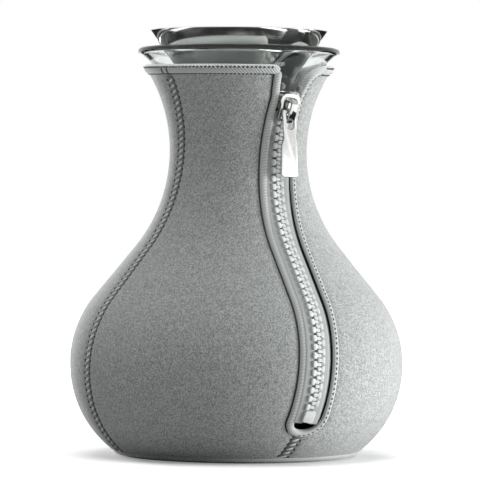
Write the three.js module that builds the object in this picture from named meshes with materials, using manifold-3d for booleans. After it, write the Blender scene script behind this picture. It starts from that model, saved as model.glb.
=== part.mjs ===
// Tea maker: a glass carafe in a zipped neoprene jacket, with a steel pouring funnel,
// a tea filter hanging under it and a flap lid in its throat.
// Millimetres, +Z up, origin at the centre of the base, zip at the front (-Y).
import * as THREE from "three";
import { mergeGeometries, mergeVertices } from "three/addons/utils/BufferGeometryUtils.js";
import Module from "manifold-3d";

const wasm = await Module();
wasm.setup();

// Glass carafe: the outline runs up from the foot, round the belly, along the shoulder and through the neck
const footRadius = 50.8;
const bellyHeight = 41; // height of the widest ring
const bellyCurve = 44.8; // profile radius of the upper belly
const shoulderAngle = 39.2; // lean of the shoulder's normal above level, in degrees
const shoulderLength = 28; // straight run between the belly's and the neck's curves
const neckCurve = 71.9; // profile radius of the neck
const neckRadius = 27.4; // outside of the glass at the waist
const turnHeight = 35; // from the waist up to where the mouth turns out further
const turnCurve = 27; // profile radius of that turn
const flareHeight = 43.9; // from the waist up to the lip
const glassWall = 2.2;
const glassFloor = 4;
const lipBead = 3.2; // diameter of the rounded lip
const glassSides = 32;

// Neoprene jacket: four panels, seamed at the zip, both sides and the back
const jacketClearance = 0.6; // between the glass and the neoprene
const neoprene = 2.8;
const baseThickness = 3;
const baseRound = 0.8; // chamfer under its edge
const hemHeight = 3.7; // middle of the panels' lower edge above the floor
const sideSeam = 92.3; // turn from the zip to each side seam, in degrees
const zipLean = 5.4; // the jacket sits turned, so the zip leans by this, in degrees
const seamLean = 2.2; // and the other seams by this
const seamGap = 0.4;
const collarRise = 38.7; // along the neck from the waist to the middle of the collar
const bindingWidth = 3.2;
const bindingThickness = 3.8;
const collarWidth = 4.2;
const bindingSides = 6;
const hemBinding = 3.4; // thickness of the sewn edge round the base
const panelColumns = 8;

// Zip: moulded teeth on the corded edges of two tapes
const slotHalf = 5.2; // from the zip's centre to each binding
const seamLength = 14.5; // sewn seam under the end of the zip
const chainDepth = 3.2; // middle of the teeth above the glass
const toothPitch = 3.7;
const toothReach = 3; // outer end of a tooth from the zip's centre
const toothHook = 0.9; // how far a tooth's head passes the zip's centre
const toothThickness = 2.6;
const toothBase = 2.8; // size of a tooth along the tape, at its root
const toothShank = 1.7; // between the teeth of the other side
const toothHead = 1.3; // and at its head
const tapeThickness = 0.8;
const cordInset = 1.4; // inner edge of the tape's cord from the zip's centre
const cordLap = 0.1; // the teeth lap over the cord's edges by this
const vOpening = 3.5; // how far each side of the V above the slider has opened at the collar
const vFoot = 24; // along the neck from the waist to the foot of the V
const lapel = 8; // how much further the right side folds open there
const lapelFoot = 31;
const lapelCurve = 2.5; // 1 for a straight fold
const toothParting = 2; // how far each row of teeth has parted at its end
const partingCurve = 1.3; // 1 for straight rows
const partingStep = 1.5; // rows of the strips are this close there
const partingDrop = 4; // the teeth begin to part this far below the slider's middle
const chainOver = 1; // the chain ends this far above the slider
const tapeDrop = 2; // and the tapes turn under this far below the slider's middle
const stopLength = 5.4; // bottom stop
const stopWidth = 5.6;
const stopThickness = 3;
const stopCorner = 1;
const stopGap = 3.2; // between the round end of the slot and the bottom stop
const topStopLength = 2.4;

// Slider and pull tab
const sliderRise = 20; // along the neck from the waist to the middle of the slider
const sliderLength = 13;
const sliderTail = 4.1; // half width at the closed end
const sliderShoulder = 5; // half width at the open end
const sliderPlate = 1; // front plate
const sliderBack = 0.7; // back plate
const sliderRound = 1.6; // corners at the closed end, half those at the open end
const flange = 0.7;
const frontPlay = 0.8; // room between the teeth and the front plate
const backPlay = 0.55;
const tapePlay = 1.25; // room between the tape and each flange
const wedgeLength = 1.8;
const wedgeWidth = 0.8;
const wedgeInset = 0.4; // from the slider's open end
const crownWidth = 3.4;
const crownSpan = 10;
const crownHeight = 4.3;
const crownStrap = 1.2;
const crownFoot = 1.5; // thickness of the strap's two legs
const crownBend = 2.4; // how far the strap takes to turn level
const pullLength = 29.7;
const pullWidth = 8.8;
const pullNeck = 6.4;
const pullEye = 8.2; // width across the eye
const pullThickness = 1.6;
const pullSlot = 7; // length of the eye's slot
const eyeRound = 1.2;
const eyeTaper = 0.4; // the eye narrows by this on each side
const pullCorner = 0.8;
const neckDrop = 3; // narrowest place below the slot
const bladeDrop = 8; // full width below the slot
const pullBar = 1.8; // bar above the slot, which hangs on the crown
const pullPlay = 0.5;
const pivotDrop = 1.2; // the bar hangs this far below the crown's middle

// Steel funnel, sealing collar and filter
const fit = 0.3; // between pieces that are fitted into each other
const tubeGap = 2.2; // between the funnel's tube and the glass at the waist
const funnelWall = 0.8;
const tubeLow = 8.5; // lower end of the tube above the waist
const throatRise = 34; // foot of the cone above the waist
const ledge = 1.6; // seat for the lid where the cone meets the tube
const coneHeight = 20.1;
const coneAngle = 38.7; // from vertical, in degrees
const sealLow = 11.5; // sealing collar above the waist
const sealHeight = 14;
const sealRibs = 3;
const ribDepth = 1.2;
const ribRise = 0.4; // share of a rib's pitch where its crest begins
const ribFall = 0.7; // and where it ends
const filterDrop = 61; // bottom of the filter below the waist
const filterRadius = 22;
const filterWall = 1;
const meshWall = 0.5;
const windowCount = 6;
const windowRib = 5; // width of the bars between the windows
const windowSill = 5; // rim above and below them
const socketHeight = 6.5;
const socketLap = 1.5; // the socket grips this much of the tube
const socketTaper = 3; // run from the socket down to the cage
const filterChamfer = 1;
const insertSides = 28;

// Flap lid
const lidThickness = 1.2;
const lidClearance = 0.6; // between the lid and the foot of the cone
const lidDome = 1.4;
const gasketInset = 0.8; // from the lid's edge
const gasketWidth = 2.2;
const gasketThickness = 1.2;
const hingeBack = 24; // hinge pin behind the axis
const hingeRise = 9; // hinge pin above the throat
const pinRadius = 1;
const pinPlay = 0.15;
const pinOverhang = 0.3; // past each ear
const barrelRadius = 2.1;
const knuckleHalf = 4.5;
const earThickness = 2;
const earGap = 0.4;
const armReach = 7; // how far the lid's arm runs in from the edge
const webLow = 2.9; // lower edge of the bracket's web below the pin
const webHigh = 3.7; // upper edge above the pin
const webThickness = 1;
const hingeSides = 16;

const rad = THREE.MathUtils.degToRad;

// Sizes that follow from the ones above
const shoulder = rad(shoulderAngle);
const curves = neckCurve + bellyCurve;
const bellyRadius = neckRadius + curves * (1 - Math.cos(shoulder)) + shoulderLength * Math.sin(shoulder);
const neckHeight = bellyHeight + curves * Math.sin(shoulder) + shoulderLength * Math.cos(shoulder);
const footHeight = baseThickness + fit;
const footIn = bellyRadius - footRadius;
const footDown = bellyHeight - footHeight;
const footCurve = (footIn ** 2 + footDown ** 2) / (2 * footIn); // profile radius of the lower belly
const jacketDepth = jacketClearance + neoprene;
const jacketMiddle = jacketClearance + neoprene / 2;
const lean = rad(zipLean);
const neckLine = neckCurve - chainDepth; // radius of the zip's line through the neck

// Lengths along the zip's line, from the waist down to each change of curve
const neckEnd = -neckLine * shoulder;
const shoulderEnd = neckEnd - shoulderLength;
const equator = shoulderEnd - (bellyCurve + chainDepth) * shoulder;
const hemAngle = Math.asin((bellyHeight - hemHeight) / (footCurve + jacketMiddle));
const hem = equator - (footCurve + chainDepth) * hemAngle;

// Point of the glass outline and its outward normal, by the length along the zip's line above the waist
function outline(s) {
  if (s > neckEnd) {
    const a = s / neckLine;
    return {
      r: neckRadius + neckCurve * (1 - Math.cos(a)),
      z: neckHeight + neckCurve * Math.sin(a),
      nr: Math.cos(a),
      nz: -Math.sin(a),
    };
  }
  if (s > shoulderEnd) {
    const top = outlineAt(neckRadius + neckCurve, neckHeight, -neckCurve, shoulder);
    const t = neckEnd - s;
    return { ...top, r: top.r + t * Math.sin(shoulder), z: top.z - t * Math.cos(shoulder) };
  }
  if (s > equator) {
    const a = shoulder - (shoulderEnd - s) / (bellyCurve + chainDepth);
    return outlineAt(bellyRadius - bellyCurve, bellyHeight, bellyCurve, a);
  }
  const a = (s - equator) / (footCurve + chainDepth);
  return outlineAt(bellyRadius - footCurve, bellyHeight, footCurve, a);
}

function outlineAt(r, z, curve, a) {
  return {
    r: r + curve * Math.cos(a),
    z: z + curve * Math.sin(a),
    nr: Math.cos(a),
    nz: Math.sin(a),
  };
}

// The outline moved outwards by a depth
function offset(s, depth) {
  const p = outline(s);
  return { ...p, r: p.r + depth * p.nr, z: p.z + depth * p.nz };
}

// Evenly spaced values from one number to another, both included
function spread(from, to, parts) {
  return Array.from({ length: parts + 1 }, (_, i) => from + ((to - from) * i) / parts);
}

// Radius of the glass's inner wall at a height above the waist
function bore(rise) {
  const inner = neckCurve + glassWall;
  return neckRadius + neckCurve - Math.sqrt(inner ** 2 - rise ** 2);
}

// Geometry helpers
function closed(positions, index) {
  const g = new THREE.BufferGeometry();
  g.setAttribute("position", new THREE.Float32BufferAttribute(positions, 3));
  g.setIndex(index);
  return g;
}

function solid(geometry) {
  const g = geometry.clone();
  g.deleteAttribute("normal");
  g.deleteAttribute("uv");
  const merged = mergeVertices(g, 1e-4);
  return new wasm.Manifold(
    new wasm.Mesh({
      numProp: 3,
      vertProperties: new Float32Array(merged.attributes.position.array),
      triVerts: new Uint32Array(merged.index.array),
    }),
  );
}

function geometryOf(manifold) {
  const m = manifold.getMesh();
  return closed(Array.from(m.vertProperties), Array.from(m.triVerts));
}

// Revolves a closed profile of [radius, height] pairs about Z
function revolve(profile, sides) {
  const points = profile.map(([r, z]) => new THREE.Vector2(r, z));
  const onAxis = profile[0][0] === 0;
  if (!onAxis) points.push(points[0].clone());
  return new THREE.LatheGeometry(points, sides).rotateX(Math.PI / 2);
}

// Extrudes a flat outline and centres it on its own plane
function plate(shape, thickness, curveSegments = 3) {
  const g = new THREE.ExtrudeGeometry(shape, { depth: thickness, bevelEnabled: false, curveSegments });
  return g.translate(0, 0, -thickness / 2);
}

// Sweeps a section of [across, out] pairs through frames that hold a point and both directions
function sweep(section, frames, ring = false) {
  const along = new THREE.Vector3().subVectors(frames[1].at, frames[0].at);
  const hand = new THREE.Vector3().crossVectors(frames[0].across, frames[0].out).dot(along);
  const flat = section.map(([across, out]) => new THREE.Vector2(across, out));
  if (THREE.ShapeUtils.area(flat) * hand < 0) flat.reverse();
  const positions = [];
  const index = [];
  const n = flat.length;
  for (const f of frames) {
    for (const { x, y } of flat) {
      const p = f.at.clone().addScaledVector(f.across, x).addScaledVector(f.out, y);
      positions.push(p.x, p.y, p.z);
    }
  }
  const spans = ring ? frames.length : frames.length - 1;
  for (let i = 0; i < spans; i++) {
    const a = i * n;
    const b = ((i + 1) % frames.length) * n;
    for (let j = 0; j < n; j++) {
      const k = (j + 1) % n;
      index.push(a + j, a + k, b + k, a + j, b + k, b + j);
    }
  }
  if (!ring) {
    const last = (frames.length - 1) * n;
    const facing = THREE.ShapeUtils.area(flat);
    for (const corners of THREE.ShapeUtils.triangulateShape(flat, [])) {
      const same = THREE.ShapeUtils.area(corners.map((i) => flat[i])) * facing > 0;
      const [a, b, c] = same ? corners : [...corners].reverse();
      index.push(c, b, a, last + a, last + b, last + c);
    }
  }
  return closed(positions, index);
}

// Section with rounded ends, as a folded and sewn binding has
function roundSection(width, thickness, squareness = 0.7) {
  const swell = (v) => Math.sign(v) * Math.abs(v) ** squareness;
  return spread(0, 2 * Math.PI, bindingSides)
    .slice(0, -1)
    .map((a) => [(width / 2) * swell(Math.cos(a)), (thickness / 2) * swell(Math.sin(a))]);
}

const tea = new THREE.Group();
const materials = {
  glass: new THREE.MeshStandardMaterial({ color: "#dfe6e6", roughness: 0.03, transparent: true, opacity: 0.35 }),
  steel: new THREE.MeshStandardMaterial({ color: "#c9cac8", roughness: 0.12, metalness: 1 }),
  silicone: new THREE.MeshStandardMaterial({ color: "#2b2c2d", roughness: 0.6 }),
  plastic: new THREE.MeshStandardMaterial({ color: "#1e1f20", roughness: 0.45 }),
  mesh: new THREE.MeshStandardMaterial({ color: "#a9aaa8", roughness: 0.35, metalness: 1 }),
  neoprene: new THREE.MeshStandardMaterial({ color: "#8f9291", roughness: 0.9 }),
  binding: new THREE.MeshStandardMaterial({ color: "#8a8d8c", roughness: 0.95 }),
  tape: new THREE.MeshStandardMaterial({ color: "#7d807f", roughness: 0.9 }),
  teeth: new THREE.MeshStandardMaterial({ color: "#9a9d9c", roughness: 0.45 }),
  nickel: new THREE.MeshStandardMaterial({ color: "#bdbebc", roughness: 0.2, metalness: 1 }),
};

function add(name, geometry, material, parent = tea) {
  const mesh = new THREE.Mesh(geometry, materials[material]);
  mesh.name = name;
  parent.add(mesh);
  return mesh;
}

// Glass carafe
const rows = {
  belly: spread(equator - (footCurve + chainDepth) * Math.asin(footDown / footCurve), equator, 5),
  upper: spread(equator, shoulderEnd, 4),
  neck: spread(neckEnd, neckLine * Math.asin(turnHeight / neckCurve), 7),
};

// The mouth turns out on a tighter curve than the neck's
const turnStart = Math.asin(turnHeight / neckCurve);
const turnEnd = Math.asin(turnHeight / neckCurve + (flareHeight - turnHeight) / turnCurve);
function mouth(a, depth) {
  const middle = neckRadius + neckCurve - (neckCurve - turnCurve) * Math.cos(turnStart);
  const rise = (neckCurve - turnCurve) * Math.sin(turnStart);
  const reach = turnCurve - depth;
  return [middle - reach * Math.cos(a), neckHeight + rise + reach * Math.sin(a)];
}

function glassProfile() {
  const run = [...rows.belly, ...rows.upper.slice(1), ...rows.neck];
  const turns = spread(turnStart, turnEnd, 3).slice(1);
  const outer = [...run.map((s) => offset(s, 0)).map((p) => [p.r, p.z]), ...turns.map((a) => mouth(a, 0))];
  const floorTop = footHeight + glassFloor;
  const inner = run
    .map((s) => offset(s, -glassWall))
    .filter((p) => p.z > floorTop + glassWall)
    .map((p) => [p.r, p.z])
    .concat(turns.map((a) => mouth(a, -glassWall)));
  const [middle, height] = mouth(turnEnd, -glassWall / 2);
  const bead = spread(-turnEnd, Math.PI - turnEnd, 4)
    .slice(1, -1)
    .map((a) => [middle + (lipBead / 2) * Math.cos(a), height + (lipBead / 2) * Math.sin(a)]);
  const corner = inner[0];
  const floorEdge = corner[0] - (corner[1] - floorTop);
  return [[0, footHeight], ...outer, ...bead, ...inner.reverse(), [floorEdge, floorTop], [0, floorTop]];
}
add("glass_carafe", revolve(glassProfile(), glassSides), "glass");

// How far a leaning seam lies sideways at a height: the zip, at no turn, and the others lean about the waist
const atZip = (turn) => turn % (2 * Math.PI) === 0;
const leanAt = (z, turn = 0) => (z - neckHeight) * Math.tan(atZip(turn) ? lean : rad(seamLean));

// Point on a line that runs beside a seam, at a sideways distance from it, on the jacket at a depth
function beside(turn, sideways, s, depth) {
  const p = offset(s, depth);
  const x = leanAt(p.z, turn) + sideways;
  const y = -Math.sqrt(p.r ** 2 - x ** 2);
  return new THREE.Vector3(x, y, p.z).applyAxisAngle(new THREE.Vector3(0, 0, 1), turn);
}

// Frame on the jacket: the direction out of the surface and the one across the line's run
function surfaceFrame(at, s, along) {
  const p = outline(s);
  const flat = new THREE.Vector3(at.x, at.y, 0).normalize();
  const out = flat.multiplyScalar(p.nr).add(new THREE.Vector3(0, 0, p.nz));
  const across = new THREE.Vector3().crossVectors(along, out).normalize();
  out.crossVectors(across, along).normalize();
  return { at, out, across };
}

// Frames along a line of [sideways, length] pairs beside the zip, facing along the line
function zipFrames(line, depth) {
  const points = line.map(([w, s]) => beside(0, w, s, depth));
  return points.map((at, i) => {
    const from = points[Math.max(i - 1, 0)];
    const to = points[Math.min(i + 1, points.length - 1)];
    const along = new THREE.Vector3().subVectors(to, from).normalize();
    return surfaceFrame(at, line[i][1], along);
  });
}

// How far each row of teeth has parted from the zip's centre
const openFrom = sliderRise - partingDrop;
const chainEnd = sliderRise + sliderLength / 2 + chainOver;
function parted(s) {
  return toothParting * Math.max((s - openFrom) / (chainEnd - openFrom), 0) ** partingCurve;
}

// How far the jacket's edge, left -1 or right 1, has opened above the slider
function opened(s, side) {
  const share = (foot) => Math.max((s - foot) / (collarRise - foot), 0);
  const fold = side > 0 ? lapel * share(lapelFoot) ** lapelCurve : 0;
  return vOpening * share(vFoot) + fold;
}

// Jacket panels: gores between two seams, cut out round the zip
const legMiddle = slotHalf + bindingWidth / 2; // middle of the binding from the zip's centre
const cutOut = slotHalf + bindingWidth + fit;
const zipEnd = hem + seamLength + cutOut; // centre of the round end of the zip's slot
const collarHalf = collarWidth / 2;
const panelTop = collarRise - collarHalf - fit;

function zipEdge(s, side) {
  const slope = opened(s + 0.5, side) - opened(s - 0.5, side);
  if (s >= zipEnd) return legMiddle + opened(s, side) + (cutOut - legMiddle) * Math.hypot(1, slope);
  const below = zipEnd - s;
  return below < cutOut - seamGap ? Math.sqrt(cutOut ** 2 - below ** 2) : seamGap / 2;
}

const roundEnd = spread(85, 15, 5).map((a) => zipEnd - cutOut * Math.sin(rad(a)));
const upperRows = [...rows.upper, ...rows.neck.filter((s) => s < vFoot), ...spread(vFoot, panelTop, 6)];
const besideZip = [
  ...spread(hem, zipEnd - cutOut, 3),
  ...roundEnd,
  ...spread(zipEnd, equator, 3).slice(0, -1),
  ...upperRows,
];
const atTheBack = [...spread(hem, equator, 6).slice(0, -1), ...upperRows];
function panel(fromTurn, toTurn) {
  const seamSide = (turn, side) => (s, depth) => {
    const edge = atZip(turn) ? zipEdge(s, side) : seamGap / 2;
    const p = beside(turn, side * edge, s, depth);
    return Math.atan2(p.x, -p.y);
  };
  const panelRows = atZip(fromTurn) || atZip(toTurn) ? besideZip : atTheBack;
  const start = seamSide(fromTurn, 1);
  const end = seamSide(toTurn, -1);
  const positions = [];
  const columns = panelColumns + 1;
  for (const depth of [jacketDepth, jacketClearance]) {
    for (const s of panelRows) {
      const p = offset(s, depth);
      const a = start(s, depth);
      let b = end(s, depth);
      while (b < a) b += 2 * Math.PI;
      for (const turn of spread(a, b, panelColumns)) {
        positions.push(p.r * Math.sin(turn), -p.r * Math.cos(turn), p.z);
      }
    }
  }
  const layer = panelRows.length * columns;
  const at = (side, row, column) => side * layer + row * columns + column;
  const index = [];
  const quad = (a, b, c, d) => index.push(a, b, c, a, c, d);
  const lastRow = panelRows.length - 1;
  for (let i = 0; i < lastRow; i++) {
    for (let j = 0; j < panelColumns; j++) {
      quad(at(0, i, j), at(0, i, j + 1), at(0, i + 1, j + 1), at(0, i + 1, j));
      quad(at(1, i, j), at(1, i + 1, j), at(1, i + 1, j + 1), at(1, i, j + 1));
    }
    quad(at(0, i, 0), at(0, i + 1, 0), at(1, i + 1, 0), at(1, i, 0));
    quad(at(0, i, panelColumns), at(1, i, panelColumns), at(1, i + 1, panelColumns), at(0, i + 1, panelColumns));
  }
  for (let j = 0; j < panelColumns; j++) {
    quad(at(0, 0, j), at(1, 0, j), at(1, 0, j + 1), at(0, 0, j + 1));
    quad(at(0, lastRow, j), at(0, lastRow, j + 1), at(1, lastRow, j + 1), at(1, lastRow, j));
  }
  return closed(positions, index);
}

const sideTurn = rad(sideSeam);
const seams = [0, sideTurn, Math.PI, 2 * Math.PI - sideTurn, 2 * Math.PI];
const panelNames = ["jacket_right_panel", "jacket_back_right_panel", "jacket_back_left_panel", "jacket_front_panel"];
panelNames.forEach((name, i) => add(name, panel(seams[i], seams[i + 1]), "neoprene"));

// Jacket base: a flat disc under the glass
const hemEdge = offset(hem, jacketMiddle);
const hemDown = new THREE.Vector2(hemEdge.nz, -hemEdge.nr); // down along the jacket from its hem
const hemStep = hemBinding / 2 + fit;
const bindingRing = { r: hemEdge.r + hemStep * hemDown.x, z: hemEdge.z + hemStep * hemDown.y };
const baseRadius = bindingRing.r - hemBinding / 2 - fit;
add(
  "jacket_base",
  revolve(
    [
      [0, 0],
      [baseRadius - baseRound, 0],
      [baseRadius, baseRound],
      [baseRadius, baseThickness],
      [0, baseThickness],
    ],
    glassSides,
  ),
  "neoprene",
);

// Bindings: overlocked edges round the base, the zip and the collar
const around = (count) => spread(0, 2 * Math.PI, count).slice(0, -1);
function ringFrames(turns, r, z) {
  return turns.map((turn) => ({
    at: new THREE.Vector3(r * Math.sin(turn), -r * Math.cos(turn), z),
    out: new THREE.Vector3(Math.sin(turn), -Math.cos(turn), 0),
    across: new THREE.Vector3(0, 0, 1),
  }));
}
add(
  "base_binding",
  sweep(roundSection(hemBinding, hemBinding, 1), ringFrames(around(glassSides), bindingRing.r, bindingRing.z), true),
  "binding",
);

const bindingDepth = jacketClearance + bindingThickness / 2;
const legTop = collarRise - collarHalf - 2 * fit;
const legLine = [
  ...spread(legTop, vFoot, 6),
  ...rows.neck.filter((s) => s < vFoot).reverse(),
  ...[...rows.upper].reverse(),
  ...spread(equator, zipEnd, 4).slice(1),
];
const bindingLine = [
  ...legLine.map((s) => [-legMiddle - opened(s, -1), s]),
  ...spread(Math.PI, 2 * Math.PI, 8)
    .slice(1, -1)
    .map((a) => [legMiddle * Math.cos(a), zipEnd + legMiddle * Math.sin(a)]),
  ...[...legLine].reverse().map((s) => [legMiddle + opened(s, 1), s]),
];
const bindingSection = roundSection(bindingWidth, bindingThickness);
add("zip_binding", sweep(bindingSection, zipFrames(bindingLine, bindingDepth)), "binding");

const collarEnd = offset(collarRise, bindingDepth);
const collarGap = (side) => Math.asin((slotHalf + opened(collarRise, side)) / collarEnd.r);
const collarShift = Math.asin(leanAt(collarEnd.z) / collarEnd.r);
const collarTurns = spread(collarShift + collarGap(1), 2 * Math.PI + collarShift - collarGap(-1), 36);
const collarFrames = collarTurns.map((turn) => {
  const at = new THREE.Vector3(collarEnd.r * Math.sin(turn), -collarEnd.r * Math.cos(turn), collarEnd.z);
  const along = new THREE.Vector3(Math.cos(turn), Math.sin(turn), 0);
  return surfaceFrame(at, collarRise, along);
});
add("collar_binding", sweep(roundSection(collarWidth, bindingThickness), collarFrames), "binding");

// Zip: everything that runs along its line is built upright and leans as one group
const zip = new THREE.Group();
zip.position.z = neckHeight;
zip.rotation.y = lean;
tea.add(zip);

// Frame on the zip's line, in the upright group
function chainFrame(s, sideways = 0) {
  const p = offset(s, chainDepth);
  return {
    at: new THREE.Vector3(sideways, -p.r, p.z - neckHeight),
    out: new THREE.Vector3(0, -p.nr, p.nz),
    across: new THREE.Vector3(1, 0, 0),
    up: new THREE.Vector3(0, p.nz, p.nr),
  };
}

// The same frame on one side of the zip, turned along that side where it parts
function sideFrame(s, side) {
  const frame = chainFrame(s, side * parted(s));
  const slope = parted(s + 0.5) - parted(s - 0.5);
  frame.up.addScaledVector(frame.across, side * slope).normalize();
  frame.across.crossVectors(frame.up, frame.out);
  return frame;
}

const stopMiddle = zipEnd - slotHalf + stopGap + stopLength / 2;
const chainStart = stopMiddle + stopLength / 2 + fit;

// Two strips run along the zip on each side: the cord inside the teeth, and the tape beside them
function ribbon(side, start, end, inner, outer, thickness) {
  const runs = [
    ...spread(start, equator, 5),
    ...rows.upper.slice(1),
    ...rows.neck.filter((s) => s < openFrom - 1),
    ...spread(openFrom, end, Math.ceil((end - openFrom) / partingStep)),
  ];
  const frames = runs.map((s) => chainFrame(s, side * parted(s)));
  const section = [
    [side * inner, -thickness / 2],
    [side * outer, -thickness / 2],
    [side * outer, thickness / 2],
    [side * inner, thickness / 2],
  ];
  return sweep(section, frames);
}

// One tooth: a block on the tape's cord, and a shank whose head hooks past the centre between two opposite teeth
function tooth(side) {
  const shape = new THREE.Shape();
  const rootEnd = cordInset - cordLap;
  const shankStart = toothHook + cordLap;
  shape.moveTo(toothReach, -toothBase / 2);
  shape.lineTo(toothReach, toothBase / 2);
  shape.lineTo(rootEnd, toothBase / 2);
  shape.lineTo(shankStart, toothShank / 2);
  shape.lineTo(-toothHook, toothHead / 2);
  shape.lineTo(-toothHook, -toothHead / 2);
  shape.lineTo(shankStart, -toothShank / 2);
  shape.lineTo(rootEnd, -toothBase / 2);
  const g = plate(shape, toothThickness);
  return side > 0 ? g : g.rotateZ(Math.PI);
}

function placed(geometry, frame) {
  const m = new THREE.Matrix4().makeBasis(frame.across, frame.up, frame.out).setPosition(frame.at);
  return geometry.applyMatrix4(m);
}

function chain(side) {
  const teeth = [];
  const first = chainStart + (side < 0 ? toothBase : toothBase + toothPitch) / 2;
  for (let s = first; s < chainEnd - toothBase / 2; s += toothPitch) {
    teeth.push(placed(tooth(side), sideFrame(s, side)));
  }
  const cord = ribbon(side, chainStart, chainEnd, cordInset, toothReach - cordLap, tapeThickness);
  return geometryOf(solid(mergeGeometries(teeth)).add(solid(cord)));
}

for (const [name, side] of [
  ["left", -1],
  ["right", 1],
]) {
  const tape = ribbon(side, zipEnd, sliderRise - tapeDrop, toothReach + fit, slotHalf - fit, tapeThickness);
  add("zip_tape_" + name, tape, "tape", zip);
  add("zip_teeth_" + name, chain(side), "teeth", zip);
  const s = chainEnd + fit + topStopLength / 2;
  const block = new THREE.BoxGeometry(toothReach - cordInset, topStopLength, toothThickness);
  block.translate((side * (toothReach + cordInset)) / 2, 0, 0);
  add("zip_top_stop_" + name, placed(block, chainFrame(s, side * parted(s))), "teeth", zip);
}

function roundedRect(width, height, corner) {
  const shape = new THREE.Shape();
  const x = width / 2;
  const y = height / 2;
  shape.moveTo(-x + corner, -y);
  shape.lineTo(x - corner, -y);
  shape.quadraticCurveTo(x, -y, x, -y + corner);
  shape.lineTo(x, y - corner);
  shape.quadraticCurveTo(x, y, x - corner, y);
  shape.lineTo(-x + corner, y);
  shape.quadraticCurveTo(-x, y, -x, y - corner);
  shape.lineTo(-x, -y + corner);
  shape.quadraticCurveTo(-x, -y, -x + corner, -y);
  return shape;
}
const stopBlock = plate(roundedRect(stopWidth, stopLength, stopCorner), stopThickness);
add("zip_bottom_stop", placed(stopBlock, chainFrame(stopMiddle)), "teeth", zip);

// Slider: two plates with flanges that guide the teeth, joined by a wedge where the zip parts,
// with the crown that carries the pull tab on the front
const halfTooth = toothThickness / 2;
const halfTape = tapeThickness / 2;
const ceiling = halfTooth + frontPlay;
const floor = -halfTooth - backPlay;
const front = ceiling + sliderPlate;
const back = floor - sliderBack;

function sliderOutline(inset, extra) {
  const y = sliderLength / 2;
  const tail = sliderTail - inset;
  const wide = sliderShoulder - inset;
  const round = inset ? 0 : sliderRound;
  const shape = new THREE.Shape();
  shape.moveTo(-tail + round / 2, -y - extra);
  shape.lineTo(tail - round / 2, -y - extra);
  shape.lineTo(tail, -y + round);
  shape.lineTo(tail, 0);
  shape.bezierCurveTo(tail, y * 0.3, wide, y * 0.2, wide, y * 0.5);
  shape.lineTo(wide, y - 2 * round + extra);
  shape.quadraticCurveTo(wide, y + extra, wide - 2 * round, y + extra);
  shape.lineTo(-wide + 2 * round, y + extra);
  shape.quadraticCurveTo(-wide, y + extra, -wide, y - 2 * round + extra);
  shape.lineTo(-wide, y * 0.5);
  shape.bezierCurveTo(-wide, y * 0.2, -tail, y * 0.3, -tail, 0);
  shape.lineTo(-tail, -y + round);
  shape.lineTo(-tail + round / 2, -y - extra);
  return shape;
}

// A slab of an outline between two heights above the zip's line
function slab(shape, low, high) {
  return solid(plate(shape, high - low).translate(0, 0, (low + high) / 2));
}

function slider() {
  const body = sliderOutline(0, 0);
  const channel = sliderOutline(flange, 1);
  const frontHalf = slab(body, halfTape + tapePlay, front).subtract(slab(channel, 0, ceiling));
  const backHalf = slab(body, back, -halfTape - tapePlay).subtract(slab(channel, floor, 0));
  const wedgeTop = sliderLength / 2 - wedgeInset;
  const wedge = new THREE.Shape();
  wedge.moveTo(0, wedgeTop - wedgeLength);
  wedge.lineTo(wedgeWidth / 2, wedgeTop);
  wedge.lineTo(-wedgeWidth / 2, wedgeTop);
  const post = slab(wedge, floor - sliderBack / 2, ceiling + sliderPlate / 2);
  return geometryOf(frontHalf.add(backHalf).add(post).add(crown()));
}

// The crown: a strap that arches over the front plate along the slider
function crown() {
  const foot = crownSpan / 2;
  const top = front + crownHeight;
  const under = top - crownStrap;
  const low = front - sliderPlate / 2;
  const inside = foot - crownFoot;
  const bend = foot - crownBend;
  const shape = new THREE.Shape();
  shape.moveTo(-foot, low);
  shape.lineTo(-foot, under - crownBend);
  shape.quadraticCurveTo(-foot, top, -bend, top);
  shape.lineTo(bend, top);
  shape.quadraticCurveTo(foot, top, foot, under - crownBend);
  shape.lineTo(foot, low);
  shape.lineTo(inside, low);
  shape.lineTo(inside, under - crownStrap);
  shape.lineTo(inside - crownStrap, under);
  shape.lineTo(-inside + crownStrap, under);
  shape.lineTo(-inside, under - crownStrap);
  shape.lineTo(-inside, low);
  const g = plate(shape, crownWidth, 4);
  return solid(g.applyMatrix4(new THREE.Matrix4().makeBasis(
    new THREE.Vector3(0, 1, 0),
    new THREE.Vector3(0, 0, 1),
    new THREE.Vector3(1, 0, 0),
  )));
}

const sliderFrame = chainFrame(sliderRise);
add("zip_slider", placed(slider(), sliderFrame), "nickel", zip);

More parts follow.
